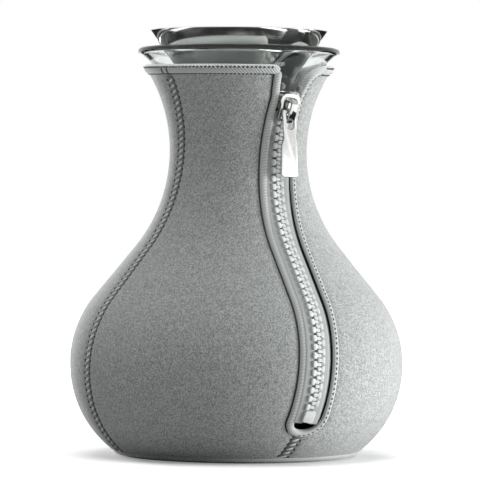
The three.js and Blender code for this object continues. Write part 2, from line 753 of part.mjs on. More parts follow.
// Pull tab: hangs plumb from the crown by the bar above its slot
function pullTab() {
  const top = pullBar / 2;
  const eyeEnd = -top - pullSlot;
  const eye = pullEye / 2;
  const neck = pullNeck / 2;
  const wide = pullWidth / 2;
  const end = top - pullLength;
  const shape = new THREE.Shape();
  const edge = eye - eyeTaper;
  const waist = eyeEnd - neckDrop;
  const blade = eyeEnd - bladeDrop;
  shape.moveTo(-eye + eyeRound, top);
  shape.lineTo(eye - eyeRound, top);
  shape.quadraticCurveTo(eye, top, eye, top - eyeRound);
  shape.lineTo(edge, eyeEnd + neckDrop);
  shape.bezierCurveTo(edge, eyeEnd, neck, eyeEnd, neck, waist);
  shape.bezierCurveTo(neck, waist - neckDrop, wide, blade + neckDrop, wide, blade);
  shape.lineTo(wide, end + pullCorner);
  shape.lineTo(wide - pullCorner, end);
  shape.lineTo(-wide + pullCorner, end);
  shape.lineTo(-wide, end + pullCorner);
  shape.lineTo(-wide, blade);
  shape.bezierCurveTo(-wide, blade + neckDrop, -neck, waist - neckDrop, -neck, waist);
  shape.bezierCurveTo(-neck, eyeEnd, -edge, eyeEnd, -edge, eyeEnd + neckDrop);
  shape.lineTo(-eye, top - eyeRound);
  shape.quadraticCurveTo(-eye, top, -eye + eyeRound, top);
  const slot = new THREE.Path();
  const half = crownWidth / 2 + pullPlay;
  slot.moveTo(-half, -top);
  slot.lineTo(-half, eyeEnd + half);
  slot.absarc(0, eyeEnd + half, half, Math.PI, 2 * Math.PI, false);
  slot.lineTo(half, -top);
  shape.holes.push(slot);
  return plate(shape, pullThickness, 4).rotateX(Math.PI / 2);
}
const pivotOut = front + (crownHeight - crownStrap) / 2;
const pivot = sliderFrame.at.clone();
pivot.addScaledVector(sliderFrame.up, -pivotDrop).addScaledVector(sliderFrame.out, pivotOut);
add("zip_pull_tab", pullTab().rotateY(-lean).translate(pivot.x, pivot.y, pivot.z), "nickel", zip);

// Insert: funnel, seal and filter stand on the axis, at heights above the waist
const insert = new THREE.Group();
insert.position.z = neckHeight;
tea.add(insert);

const boreWaist = bore(0);
const tubeRadius = boreWaist - tubeGap;
const tubeBore = tubeRadius - funnelWall;
const coneFoot = tubeRadius + ledge;
const coneRun = Math.tan(rad(coneAngle));
const coneSkin = funnelWall / Math.cos(rad(coneAngle)); // wall of the cone, measured level
const coneBore = (rise) => coneFoot - coneSkin + (rise - throatRise) * coneRun;
const rimRise = throatRise + coneHeight;
const rimRadius = coneFoot + coneHeight * coneRun;
add(
  "pouring_funnel",
  revolve(
    [
      [tubeBore, tubeLow],
      [tubeRadius, tubeLow],
      [tubeRadius, throatRise - funnelWall],
      [coneFoot, throatRise],
      [rimRadius, rimRise],
      [rimRadius - coneSkin / 2, rimRise + funnelWall / 3],
      [rimRadius - coneSkin, rimRise],
      [coneBore(throatRise + funnelWall), throatRise + funnelWall],
      [tubeBore, throatRise + funnelWall / 2],
    ],
    insertSides,
  ),
  "steel",
  insert,
);

// Sealing collar: a ribbed plug between the tube and the flare of the neck
function sealProfile() {
  const top = sealLow + sealHeight;
  const inner = tubeRadius + fit;
  const ribPitch = sealHeight / sealRibs;
  const outer = [];
  for (let i = 0; i < sealRibs; i++) {
    const low = sealLow + i * ribPitch;
    const groove = bore(low) - fit - ribDepth;
    outer.push([groove, low]);
    for (const share of [ribRise, ribFall]) {
      const rise = low + share * ribPitch;
      outer.push([bore(rise) - fit, rise]);
    }
  }
  outer.push([bore(top) - fit - ribDepth, top]);
  return [[inner, sealLow], ...outer, [inner, top]];
}
add("sealing_collar", revolve(sealProfile(), insertSides), "silicone", insert);

// Filter: a caged cup on a socket round the tube's lower end
const socketBore = tubeRadius + fit;
const socketTop = tubeLow + socketLap;
const socketLow = socketTop - socketHeight;
const socketRadius = boreWaist - 2 * fit;
const cageBore = filterRadius - filterWall;
const cageLow = -filterDrop;
const cageTop = socketLow - socketTaper;

function filterFrame() {
  const cage = revolve(
    [
      [0, cageLow],
      [filterRadius - filterChamfer, cageLow],
      [filterRadius, cageLow + filterChamfer],
      [filterRadius, cageTop],
      [socketRadius, socketLow],
      [socketRadius, socketTop],
      [socketBore, socketTop],
      [socketBore, tubeLow - fit],
      [cageBore, tubeLow - fit - filterWall],
      [cageBore, cageLow + filterWall],
      [0, cageLow + filterWall],
    ],
    insertSides,
  );
  const windowHeight = cageTop - cageLow - 2 * windowSill;
  const halfWindow = filterRadius * Math.sin(Math.PI / windowCount) - windowRib / 2;
  let cut = solid(cage);
  for (const turn of around(windowCount)) {
    const hole = new THREE.BoxGeometry(2 * halfWindow, filterRadius, windowHeight);
    hole.translate(0, -filterRadius, (cageLow + cageTop) / 2).rotateZ(turn);
    cut = cut.subtract(solid(hole));
  }
  return geometryOf(cut);
}
add("filter_frame", filterFrame(), "plastic", insert);

const meshRadius = cageBore - fit;
const meshTop = tubeLow - 2 * fit - filterWall;
const meshLow = cageLow + filterWall + fit;
add(
  "filter_mesh",
  revolve(
    [
      [0, meshLow],
      [meshRadius, meshLow],
      [meshRadius, meshTop],
      [meshRadius - meshWall, meshTop],
      [meshRadius - meshWall, meshLow + meshWall],
      [0, meshLow + meshWall],
    ],
    insertSides,
  ),
  "mesh",
  insert,
);

// Flap lid: a domed disc that lies on the throat's ledge and swings up about a pin at the back
const lidRadius = coneBore(throatRise + funnelWall) - lidClearance;
const gasketLow = throatRise + funnelWall + fit;
const lidLow = gasketLow + gasketThickness + fit;
const lidTop = lidLow + lidThickness;
const hingeAt = { y: hingeBack, z: throatRise + hingeRise };

// A cylinder along X about the hinge
function onHinge(radius, length) {
  return solid(
    new THREE.CylinderGeometry(radius, radius, length, hingeSides).rotateZ(Math.PI / 2).translate(0, hingeAt.y, hingeAt.z),
  );
}

// A flat outline of [back, up] pairs, made into a bar across X
function barAcross(points, width, middle = 0) {
  const shape = new THREE.Shape(points.map(([y, z]) => new THREE.Vector2(y, z)));
  const g = plate(shape, width);
  g.applyMatrix4(
    new THREE.Matrix4().makeBasis(
      new THREE.Vector3(0, 1, 0),
      new THREE.Vector3(0, 0, 1),
      new THREE.Vector3(1, 0, 0),
    ),
  );
  return solid(g.translate(middle, 0, 0));
}

function flipLid() {
  const disc = revolve(
    [
      [0, lidLow],
      [lidRadius, lidLow],
      ...spread(lidRadius, 0, 4).map((r) => [r, lidTop + lidDome * (1 - (r / lidRadius) ** 2)]),
    ],
    insertSides,
  );
  const arm = barAcross(
    [
      [lidRadius - armReach, lidLow + lidThickness / 2],
      [lidRadius - gasketInset, lidLow + lidThickness / 2],
      [hingeAt.y + barrelRadius / 2, hingeAt.z - barrelRadius / 2],
      [hingeAt.y - barrelRadius / 2, hingeAt.z + barrelRadius / 2],
      [lidRadius - armReach, lidTop + lidDome],
    ],
    2 * knuckleHalf,
  );
  const barrel = onHinge(barrelRadius, 2 * knuckleHalf);
  return geometryOf(solid(disc).add(arm).add(barrel).subtract(onHinge(pinRadius + pinPlay, 3 * knuckleHalf)));
}
add("flip_lid", flipLid(), "steel", insert);

const gasketRadius = lidRadius - gasketInset;
add(
  "lid_gasket",
  revolve(
    [
      [gasketRadius - gasketWidth, gasketLow],
      [gasketRadius, gasketLow],
      [gasketRadius, gasketLow + gasketThickness],
      [gasketRadius - gasketWidth, gasketLow + gasketThickness],
    ],
    insertSides,
  ),
  "silicone",
  insert,
);

const earInside = knuckleHalf + earGap;
const earOutside = earInside + earThickness;
add("lid_hinge_pin", geometryOf(onHinge(pinRadius, 2 * (earOutside + pinOverhang))), "steel", insert);

// Hinge bracket: two ears on a web that lies along the cone's back wall
function hingeBracket() {
  const wall = (rise) => Math.sqrt((coneBore(rise) * Math.cos(Math.PI / insertSides)) ** 2 - earOutside ** 2) - fit;
  const low = hingeAt.z - webLow;
  const high = hingeAt.z + webHigh;
  const round = spread(rad(100), rad(260), 5).map((a) => [
    hingeAt.y + barrelRadius * Math.cos(a),
    hingeAt.z + barrelRadius * Math.sin(a),
  ]);
  const web = [
    [wall(low) - webThickness, low],
    [wall(low), low],
    [wall(high), high],
    [wall(high) - webThickness, high],
  ];
  const side = [...round, ...web.slice(1)];
  const middle = (earInside + earOutside) / 2;
  const joined = barAcross(side, earThickness, -middle)
    .add(barAcross(side, earThickness, middle))
    .add(barAcross(web, 2 * earOutside));
  return geometryOf(joined.subtract(onHinge(pinRadius + pinPlay, 3 * earOutside)));
}
add("lid_hinge_bracket", hingeBracket(), "steel", insert);

export default tea;
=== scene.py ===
import math

import bpy
from mathutils import Matrix, Vector


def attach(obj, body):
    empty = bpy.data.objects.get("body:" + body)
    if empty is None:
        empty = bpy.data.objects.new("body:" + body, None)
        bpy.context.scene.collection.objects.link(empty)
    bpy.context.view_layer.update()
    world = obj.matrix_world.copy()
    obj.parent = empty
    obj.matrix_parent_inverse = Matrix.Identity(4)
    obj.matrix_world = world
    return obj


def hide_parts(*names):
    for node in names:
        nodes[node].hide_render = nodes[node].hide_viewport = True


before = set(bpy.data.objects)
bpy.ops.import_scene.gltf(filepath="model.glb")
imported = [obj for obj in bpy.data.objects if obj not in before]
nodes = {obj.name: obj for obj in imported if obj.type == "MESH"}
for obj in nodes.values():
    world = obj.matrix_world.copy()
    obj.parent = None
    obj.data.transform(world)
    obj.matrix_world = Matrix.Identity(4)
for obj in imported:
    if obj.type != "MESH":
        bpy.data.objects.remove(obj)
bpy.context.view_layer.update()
mm = 0.001
fullTurn = 2 * math.pi
print("frame loaded:", len(nodes), "nodes")


# Tools for modelling


def only(*pieces):  # selects just these, the last one active
    if bpy.context.mode != "OBJECT":
        bpy.ops.object.mode_set(mode="OBJECT")
    bpy.ops.object.select_all(action="DESELECT")
    for piece in pieces:
        piece.select_set(True)
        bpy.context.view_layer.objects.active = piece


def added(name):  # names the piece that an operator has just added
    piece = bpy.context.object
    piece.name = name
    piece.data.name = name
    return piece


def edit(piece, kind="VERT"):
    only(piece)
    bpy.ops.object.mode_set(mode="EDIT")
    bpy.ops.mesh.select_mode(type=kind)


def closeUp(piece, gap=0.01):  # merges seams and poles, and turns the faces outwards
    edit(piece)
    bpy.ops.mesh.select_all(action="SELECT")
    bpy.ops.mesh.remove_doubles(threshold=gap * mm)
    bpy.ops.mesh.normals_make_consistent(inside=False)
    bpy.ops.object.mode_set(mode="OBJECT")


def smooth(piece, degrees=40):
    only(piece)
    bpy.ops.object.shade_smooth_by_angle(angle=math.radians(degrees))


def modify(piece, kind, **settings):  # adds one modifier and applies it
    only(piece)
    modifier = piece.modifiers.new(kind, kind)
    for name, value in settings.items():
        setattr(modifier, name, value)
    bpy.ops.object.modifier_apply(modifier=modifier.name)


def roundEdges(piece, width, segments=2, degrees=30):
    modify(piece, "BEVEL", width=width * mm, segments=segments, limit_method="ANGLE",
           angle_limit=math.radians(degrees))
    smooth(piece)


def spunPiece(name, profile, steps=96):  # a line of (radius, height) pairs turned about the axis
    only()
    bpy.ops.mesh.primitive_plane_add(size=mm)
    piece = added(name)
    edit(piece)
    bpy.ops.mesh.select_all(action="SELECT")
    bpy.ops.mesh.merge(type="CENTER")
    here = Vector((profile[0][0], 0, profile[0][1]))
    bpy.ops.transform.translate(value=here * mm)
    for radius, height in profile[1:]:
        there = Vector((radius, 0, height))
        bpy.ops.mesh.extrude_region_move(TRANSFORM_OT_translate={"value": (there - here) * mm})
        here = there
    bpy.ops.mesh.select_all(action="SELECT")
    bpy.ops.mesh.spin(steps=steps, angle=fullTurn, center=(0, 0, 0), axis=(0, 0, 1))
    closeUp(piece)
    smooth(piece)
    return piece


def mappedGrid(name, columns, rows, place):  # a grid laid by place(column, row), patterned in mm
    only()
    bpy.ops.mesh.primitive_grid_add(x_subdivisions=columns, y_subdivisions=rows, size=2)
    piece = added(name)
    pattern = []
    for vertex in piece.data.vertices:
        column = round((vertex.co.x + 1) / 2 * columns)
        row = round((vertex.co.y + 1) / 2 * rows)
        point, across, along = place(column, row)
        vertex.co = point * mm
        pattern.append((across, along))
    for loop in piece.data.loops:
        piece.data.uv_layers.active.data[loop.index].uv = pattern[loop.vertex_index]
    return piece


def sweptTube(name, frames, section, ring=False):  # a section of (across, out) pairs drawn along frames
    sides = len(section)
    runs = [0]
    for a, b in zip(frames, frames[1:]):
        runs.append(runs[-1] + (b[0] - a[0]).length)
    girths = [0]
    for a, b in zip(section, section[1:] + section[:1]):
        girths.append(girths[-1] + math.dist(a, b))

    def place(column, row):
        at, across, out = frames[row]
        x, y = section[column % sides]
        return at + across * x + out * y, girths[column], runs[row]

    piece = mappedGrid(name, sides, len(frames) - 1, place)
    closeUp(piece, 0.002)
    if not ring:  # a face closes each end
        edit(piece)
        bpy.ops.mesh.select_all(action="DESELECT")
        bpy.ops.mesh.select_non_manifold()
        bpy.ops.mesh.edge_face_add()
        closeUp(piece, 0.002)
    smooth(piece, 60)
    return piece


def roundSection(width, thickness, sides=16, squareness=0.7):
    def swell(v):
        return math.copysign(abs(v) ** squareness, v)
    turns = [fullTurn * i / sides for i in range(sides)]
    return [(width / 2 * swell(math.cos(a)), thickness / 2 * swell(math.sin(a))) for a in turns]


def copies(name, model, places):  # one model set at every place, each with its own mesh, joined
    pieces = []
    for place in places:
        piece = model.copy()
        piece.data = model.data.copy()
        piece.data.transform(place)
        bpy.context.collection.objects.link(piece)
        pieces.append(piece)
    only(*pieces)
    bpy.ops.object.join()
    bpy.data.objects.remove(model)
    return added(name)


def refined(name, solid, width, segments=2):  # a CAD piece with its edges rounded off
    piece = nodes[solid].copy()
    piece.data = nodes[solid].data.copy()
    piece.name = name
    bpy.context.collection.objects.link(piece)
    piece.parent = None
    piece.matrix_world = nodes[solid].matrix_world.copy()
    only(piece)
    bpy.ops.object.transform_apply(location=True, rotation=True, scale=True)
    closeUp(piece)
    edit(piece)
    bpy.ops.mesh.select_all(action="SELECT")
    bpy.ops.mesh.dissolve_limited(angle_limit=math.radians(1))
    bpy.ops.object.mode_set(mode="OBJECT")
    piece.data.materials.clear()
    roundEdges(piece, width, segments)
    return piece


def basis(at, across, up, out):  # a place in metres from a point in mm and three directions
    place = Matrix((across, up, out)).transposed().to_4x4()
    place.translation = at * mm
    return place


def spread(low, high, parts):
    return [low + (high - low) * i / parts for i in range(parts + 1)]


def between(a, b, share):
    return a + (b - a) * share


# The outline that the glass and the jacket share, in mm
shape = {
    "footRadius": 50.8,
    "footHeight": 3.3,
    "bellyHeight": 41,
    "bellyCurve": 44.8,
    "shoulder": math.radians(39.2),
    "shoulderLength": 28,
    "neckCurve": 71.9,
    "neckRadius": 27.4,
    "chainDepth": 3.2,
    "zipLean": math.radians(5.4),  # the jacket sits turned on the glass
    "seamLean": math.radians(4.2),
}
shoulder = shape["shoulder"]
neckCurve = shape["neckCurve"]
neckRadius = shape["neckRadius"]
bellyCurve = shape["bellyCurve"]
bellyHeight = shape["bellyHeight"]
chainDepth = shape["chainDepth"]
curves = neckCurve + bellyCurve
shoulderLength = shape["shoulderLength"]
bellyRadius = neckRadius + curves * (1 - math.cos(shoulder)) + shoulderLength * math.sin(shoulder)
neckHeight = bellyHeight + curves * math.sin(shoulder) + shoulderLength * math.cos(shoulder)
footIn = bellyRadius - shape["footRadius"]
footDown = bellyHeight - shape["footHeight"]
footCurve = (footIn ** 2 + footDown ** 2) / (2 * footIn)
neckLine = neckCurve - chainDepth
neckEnd = -neckLine * shoulder
shoulderEnd = neckEnd - shoulderLength
equator = shoulderEnd - (bellyCurve + chainDepth) * shoulder


def outline(s, depth=0):  # radius, height and outward normal, by the length along the zip above the waist
    if s > neckEnd:
        a = s / neckLine
        r, z = neckRadius + neckCurve * (1 - math.cos(a)), neckHeight + neckCurve * math.sin(a)
        nr, nz = math.cos(a), -math.sin(a)
    elif s > shoulderEnd:
        nr, nz = math.cos(shoulder), math.sin(shoulder)
        r = neckRadius + neckCurve * (1 - nr) + (neckEnd - s) * nz
        z = neckHeight - neckCurve * nz - (neckEnd - s) * nr
    else:
        above = s > equator
        curve = bellyCurve if above else footCurve
        a = (s - equator) / (curve + chainDepth)
        nr, nz = math.cos(a), math.sin(a)
        r, z = bellyRadius - curve * (1 - nr), bellyHeight + curve * nz
    return r + depth * nr, z + depth * nz, nr, nz


def onTurn(r, z, turn):
    return Vector((r * math.sin(turn), -r * math.cos(turn), z))


def beside(turn, sideways, s, depth):  # a point beside a seam, which leans with the jacket
    r, z, nr, nz = outline(s, depth)
    lean = shape["zipLean"] if turn in (0, fullTurn) else shape["seamLean"]
    x = (z - neckHeight) * math.tan(lean) + sideways
    return onTurn(r, z, turn + math.asin(x / r))


def turnOf(point):
    return math.atan2(point.x, -point.y)


# Materials


def linear(code):  # a written colour as linear light
    parts = [int(code[i:i + 2], 16) / 255 for i in (1, 3, 5)]
    return [p / 12.92 if p <= 0.04045 else ((p + 0.055) / 1.055) ** 2.4 for p in parts] + [1]


def setSockets(tree, item, inputs):  # links the sockets that another node feeds, and sets the rest
    for socket, value in inputs.items():
        if isinstance(value, bpy.types.NodeSocket):
            tree.links.new(value, item.inputs[socket])
        else:
            item.inputs[socket].default_value = value


def node(tree, kind, inputs=None, stops=(), **settings):  # adds one node with its settings and links
    item = tree.nodes.new("ShaderNode" + kind)
    for name, value in settings.items():
        setattr(item, name, value)
    setSockets(tree, item, inputs or {})
    for i, (position, code) in enumerate(stops):  # colours of a ramp, at places from 0 to 1
        item.color_ramp.elements[i].position = position
        item.color_ramp.elements[i].color = linear(code)
    return item


def newMaterial(name):
    material = bpy.data.materials.new(name)
    material.use_nodes = True
    return material, material.node_tree, material.node_tree.nodes["Principled BSDF"]


def jersey(name, dark, light):
    # knitted jersey face: every loop of the melange yarn a little lighter or darker than the next
    material, tree, shader = newMaterial(name)
    uv = node(tree, "TexCoord").outputs["UV"]
    lean = (0, 0, math.radians(-35))
    slant = node(tree, "Mapping", {"Vector": uv, "Rotation": lean, "Scale": (2.8, 2.3, 1)})
    slant = slant.outputs["Vector"]  # loops 0.36 by 0.43 mm
    loops = node(tree, "TexVoronoi", {"Vector": slant, "Scale": 1, "Randomness": 0.8}).outputs["Color"]
    colour = node(tree, "ValToRGB", {"Fac": loops}, [(0.2, dark), (0.8, light)]).outputs["Color"]
    wale = node(tree, "TexWave", {"Vector": uv, "Scale": 0.4, "Distortion": 2, "Detail Scale": 0.5})
    wale = wale.outputs["Fac"]  # columns of loops 0.8 mm apart
    relief = node(tree, "Bump", {"Height": wale, "Strength": 0.05, "Distance": 0.0002}).outputs["Normal"]
    setSockets(tree, shader, {"Base Color": colour, "Normal": relief, "Roughness": 0.85})
    setSockets(tree, shader, {"Sheen Weight": 0.2, "Sheen Roughness": 0.5})
    return material


neopreneMaterial = jersey("neoprene_jersey_knitted", "#707372", "#a7aaa9")


def cutFoam(name, dark, light):
    # cut rubber foam: black, dull and pitted, so the open edges stay dark
    material, tree, shader = newMaterial(name)
    place = node(tree, "TexCoord").outputs["Object"]
    pores = node(tree, "TexVoronoi", {"Vector": place, "Scale": 1600}).outputs["Distance"]  # pores 0.6 mm
    colour = node(tree, "ValToRGB", {"Fac": pores}, [(0.1, dark), (0.6, light)]).outputs["Color"]
    relief = node(tree, "Bump", {"Height": pores, "Strength": 0.4, "Distance": 0.0003}).outputs["Normal"]
    setSockets(tree, shader, {"Base Color": colour, "Normal": relief, "Roughness": 0.95})
    return material


foamMaterial = cutFoam("neoprene_foam_cut", "#0e0f0f", "#191a1a")


def overlock(name, dark, light, height):
    # overlocked edge: slanted threads laid side by side, with painted shade between them
    material, tree, shader = newMaterial(name)
    uv = node(tree, "TexCoord").outputs["UV"]
    slant = node(tree, "Mapping", {"Vector": uv, "Rotation": (0, 0, math.radians(40))}).outputs["Vector"]
    thread = node(tree, "TexWave", {"Vector": slant, "Scale": 0.3, "Distortion": 0.8, "Detail Scale": 2},
                  bands_direction="Y").outputs["Fac"]  # threads 1.05 mm apart
    colour = node(tree, "ValToRGB", {"Fac": thread}, [(0.05, dark), (0.6, light)]).outputs["Color"]
    relief = node(tree, "Bump", {"Height": thread, "Strength": height, "Distance": 0.0003}).outputs["Normal"]
    setSockets(tree, shader, {"Base Color": colour, "Normal": relief, "Roughness": 0.8, "Sheen Weight": 0.2})
    return material


bindingMaterial = overlock("polyester_overlock_thread", "#7d807f", "#b6b9b8", 0.35)
rollMaterial = overlock("polyester_overlock_pressed_less_shade", "#9a9d9c", "#b0b3b2", 0.12)  # flat beside the zip: lower relief and weaker painted shade between the threads


def spunThread(name, dark, light):
    # sewing thread: plied, so fine slanted lines catch the light along it
    material, tree, shader = newMaterial(name)
    place = node(tree, "TexCoord").outputs["Object"]
    ply = node(tree, "TexNoise", {"Vector": place, "Scale": 2500, "Detail": 2}).outputs["Fac"]  # ply 0.4 mm
    colour = node(tree, "ValToRGB", {"Fac": ply}, [(0.3, dark), (0.7, light)]).outputs["Color"]
    setSockets(tree, shader, {"Base Color": colour, "Roughness": 0.7, "Sheen Weight": 0.3})
    return material


threadMaterial = spunThread("polyester_thread_plied", "#a5a8a7", "#c3c6c5")
holeShadeMaterial = spunThread("hole_shade_painted", "#121313", "#1c1d1d")  # painted shade: near black, for the shade deep in the needle holes and beside the rolls
underShadeMaterial = spunThread("polyester_thread_under_painted_shade", "#4e504f", "#5f6160")  # a real under thread, painted darker as the shade of the upper threads


def wovenTape(name, dark, light):
    # zip tape: a tight twill, seen as fine crossing ribs
    material, tree, shader = newMaterial(name)
    uv = node(tree, "TexCoord").outputs["UV"]
    weave = node(tree, "TexChecker", {"Vector": uv, "Scale": 2}).outputs["Fac"]  # ribs 0.5 mm wide
    fleck = node(tree, "TexNoise", {"Vector": uv, "Scale": 1.5, "Detail": 2}).outputs["Fac"]
    both = node(tree, "Math", {0: weave, 1: fleck}, operation="ADD").outputs[0]
    colour = node(tree, "ValToRGB", {"Fac": both}, [(0.2, dark), (1, light)]).outputs["Color"]
    relief = node(tree, "Bump", {"Height": weave, "Strength": 0.4, "Distance": 0.0002}).outputs["Normal"]
    setSockets(tree, shader, {"Base Color": colour, "Normal": relief, "Roughness": 0.85})
    return material


tapeMaterial = wovenTape("polyester_tape_woven", "#7c7f7e", "#9fa2a1")


def moulded(name, dark, light, roughness, ior=1.48):
    # injection-moulded plastic: even colour with a faint cloud, and a slightly uneven satin skin
    material, tree, shader = newMaterial(name)
    place = node(tree, "TexCoord").outputs["Object"]
    cloud = node(tree, "TexNoise", {"Vector": place, "Scale": 900, "Detail": 2}).outputs["Fac"]  # 1.1 mm
    colour = node(tree, "ValToRGB", {"Fac": cloud}, [(0.3, dark), (0.7, light)]).outputs["Color"]
    relief = node(tree, "Bump", {"Height": cloud, "Strength": 0.08, "Distance": 0.0002}).outputs["Normal"]
    setSockets(tree, shader, {"Base Color": colour, "Normal": relief, "Roughness": roughness, "IOR": ior})
    return material


teethMaterial = moulded("acetal_moulded", "#b2b5b4", "#c0c3c2", 0.35)
# the same acetal as the teeth, painted darker as shade on the top stops
stopShadeMaterial = moulded("acetal_moulded_painted_shade", "#686b6a", "#747776", 0.45)
siliconeMaterial = moulded("silicone_rubber_moulded", "#a2a4a3", "#b0b2b1", 0.55, 1.41)
plasticMaterial = moulded("nylon_black_moulded", "#1b1c1d", "#222324", 0.4, 1.53)


def polished(name, dark, light, roughness, lines):
    # polished metal: mirror skin, with the polishing wheel's fine lines in its gloss
    material, tree, shader = newMaterial(name)
    place = node(tree, "TexCoord").outputs["Object"]
    stretch = node(tree, "Mapping", {"Vector": place, "Scale": lines}).outputs["Vector"]
    wheel = node(tree, "TexNoise", {"Vector": stretch, "Scale": 1, "Detail": 3}).outputs["Fac"]
    colour = node(tree, "ValToRGB", {"Fac": wheel}, [(0.3, dark), (0.7, light)]).outputs["Color"]
    gloss = node(tree, "MapRange", {"Value": wheel, "To Min": roughness, "To Max": roughness + 0.05})
    setSockets(tree, shader, {"Base Color": colour, "Roughness": gloss.outputs["Result"], "Metallic": 1})
    return material


steelMaterial = polished("stainless_steel_polished", "#dcdddb", "#e4e5e3", 0.06, (40, 40, 2500))
# the same nickel plate in two copies: painted shade on the slider, painted light on the rougher tab
nickelMaterial = polished("nickel_plate_polished_painted_shade", "#b2b3b1", "#bdbebc", 0.03, (600, 600, 150))
tabMaterial = polished("nickel_plate_satin_painted_light", "#d6d7d5", "#dedfdd", 0.2, (600, 600, 150))


def wireCloth(name, dark, light):
    # woven wire cloth: openings painted dark as shade between crossing bright wires, drawn coarser than the
    # real 0.2 mm
    material, tree, shader = newMaterial(name)
    place = node(tree, "TexCoord").outputs["Object"]
    up = node(tree, "TexWave", {"Vector": place, "Scale": 300}, bands_direction="Z").outputs["Fac"]
    across = node(tree, "TexWave", {"Vector": place, "Scale": 300}, bands_direction="X").outputs["Fac"]
    wires = node(tree, "Math", {0: up, 1: across}, operation="MAXIMUM").outputs[0]
    colour = node(tree, "ValToRGB", {"Fac": wires}, [(0.35, dark), (0.75, light)]).outputs["Color"]
    relief = node(tree, "Bump", {"Height": wires, "Strength": 0.5, "Distance": 0.0003}).outputs["Normal"]
    setSockets(tree, shader, {"Base Color": colour, "Normal": relief, "Metallic": 1, "Roughness": 0.35})
    return material


meshMaterial = wireCloth("steel_wire_cloth_woven", "#2c2c2c", "#b5b6b4")


def blownGlass(name):
    # blown borosilicate: clear, with a very slight waviness in its skin
    material, tree, shader = newMaterial(name)
    place = node(tree, "TexCoord").outputs["Object"]
    swirl = node(tree, "TexNoise", {"Vector": place, "Scale": 35, "Detail": 1}).outputs["Fac"]  # 29 mm
    relief = node(tree, "Bump", {"Height": swirl, "Strength": 0.05, "Distance": 0.001}).outputs["Normal"]
    setSockets(tree, shader, {"Base Color": linear("#fbfdfc"), "Normal": relief, "Roughness": 0})
    setSockets(tree, shader, {"Transmission Weight": 1, "IOR": 1.47})
    return material


glassMaterial = blownGlass("borosilicate_glass_blown")


def finishPiece(piece, material, slot, body, *replaced):
    if not piece.data.materials:
        piece.data.materials.append(material)
    if replaced:
        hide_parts(*replaced)
    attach(piece, body)
    return piece


print("materials made")

# Glass carafe
glass = {
    "wall": 2.2,
    "floor": 4,
    "turnHeight": 35,  # above the waist, where the mouth turns out on a tighter curve
    "turnCurve": 27,
    "flareHeight": 43.9,
    "bead": 3.2,
    "beadJoin": 0.4,  # angle at which the lip's bead meets the wall
}
mouthStart = math.asin(glass["turnHeight"] / neckCurve)


def mouth(a, depth):  # radius and height on the mouth's tighter curve
    reach = glass["turnCurve"]
    step = neckCurve - reach
    r = neckRadius + neckCurve - step * math.cos(mouthStart) - (reach - depth) * math.cos(a)
    return r, neckHeight + step * math.sin(mouthStart) + (reach - depth) * math.sin(a)


def glassProfile():
    rise = (glass["flareHeight"] - glass["turnHeight"]) / glass["turnCurve"]
    mouthEnd = math.asin(glass["turnHeight"] / neckCurve + rise)
    foot = equator - (footCurve + chainDepth) * math.asin(footDown / footCurve)
    runs = spread(foot, equator, 16) + spread(equator, shoulderEnd, 12)[1:]
    runs += spread(neckEnd, neckLine * mouthStart, 26)
    turns = spread(mouthStart, mouthEnd, 10)[1:]
    outer = [outline(s)[:2] for s in runs] + [mouth(a, 0) for a in turns]
    r, z = mouth(mouthEnd, -glass["wall"] / 2)
    bead, join = glass["bead"] / 2, glass["beadJoin"]
    lipTurns = spread(join - mouthEnd, math.pi - join - mouthEnd, 14)
    lip = [(r + bead * math.cos(a), z + bead * math.sin(a)) for a in lipTurns]
    floorTop = shape["footHeight"] + glass["floor"]
    inner = [mouth(a, -glass["wall"]) for a in reversed(turns)]
    inner += [outline(s, -glass["wall"])[:2] for s in reversed(runs)]
    inner = [p for p in inner if p[1] > floorTop + 2 * glass["wall"]]
    r, z = inner[-1]
    curve = z - floorTop
    cornerTurns = spread(0, math.pi / 2, 6)
    corner = [(r - curve * (1 - math.cos(a)), z - curve * math.sin(a)) for a in cornerTurns]
    return [(0, shape["footHeight"])] + outer + lip + inner + corner[1:] + [(0, floorTop)]


carafe = spunPiece("carafe_glass", glassProfile(), 128)
finishPiece(carafe, glassMaterial, "glass", "carafe", "glass_carafe")
carafe.visible_shadow = False  # clear glass lets the light through to what stands in it
print("glass carafe made")

# Jacket: four neoprene gores, seamed at the zip, the sides and the back
jacket = {
    "clearance": 0.6,
    "neoprene": 2.8,
    "hemHeight": 3.7,
    "sideSeam": math.radians(90.5),
    "seamGap": 0.05,  # from a gore's edge to the middle of its seam
    "seamPinch": 0.9,  # how deep the stitching draws a seam in
    "pinchReach": 3.6,  # and over what width
    "dip": 1.6,  # the collar hangs this much lower where it faces the camera
    "dipTurn": math.radians(-34.6),
    "dipCurve": 0.6,
    "dipFade": 6,  # power by which the dip fades below the collar
    "collarRise": 38.7,
    "collarTuck": 0.5,  # how far the gores run up into the collar
    "slotHalf": 5.2,
    "slotFit": 0.3,
    "bindingWidth": 3.2,
    "rollWidth": {-1: 3.5, 1: 3},  # the overlocked roll is wider left of the zip
    "rollGap": {-1: -0.7, 1: 0.9},  # and stands off more right of it
    "bindingThickness": 3.8,
    "collarWidth": 4.2,
    "tuck": {-1: 0.3, 1: 0.5},  # how far a panel's edge runs under the roll
    "cutFrom": 12,  # below the pull tab the right edge is cut square
    "cutFull": 4,
    "cutRoll": {"gap": 3.1, "width": 2.6, "height": 2.1, "lift": 0.45, "tuck": 2.3},  # its own roll
    "seamLength": 14.5,
    "vOpening": 3.5,
    "vFoot": 24,
    "lapel": 8,
    "lapelFoot": 31,
    "lapelCurve": 2.5,
    "legGap": 1.1,  # from the left roll's end to the collar
    "lapelSink": 0.6,  # the right roll ends this far below the collar's middle
    "columns": 72,
    "rows": 168,
}
jacketDepth = jacket["clearance"] + jacket["neoprene"]
goreMiddle = jacketDepth - jacket["neoprene"] / 2
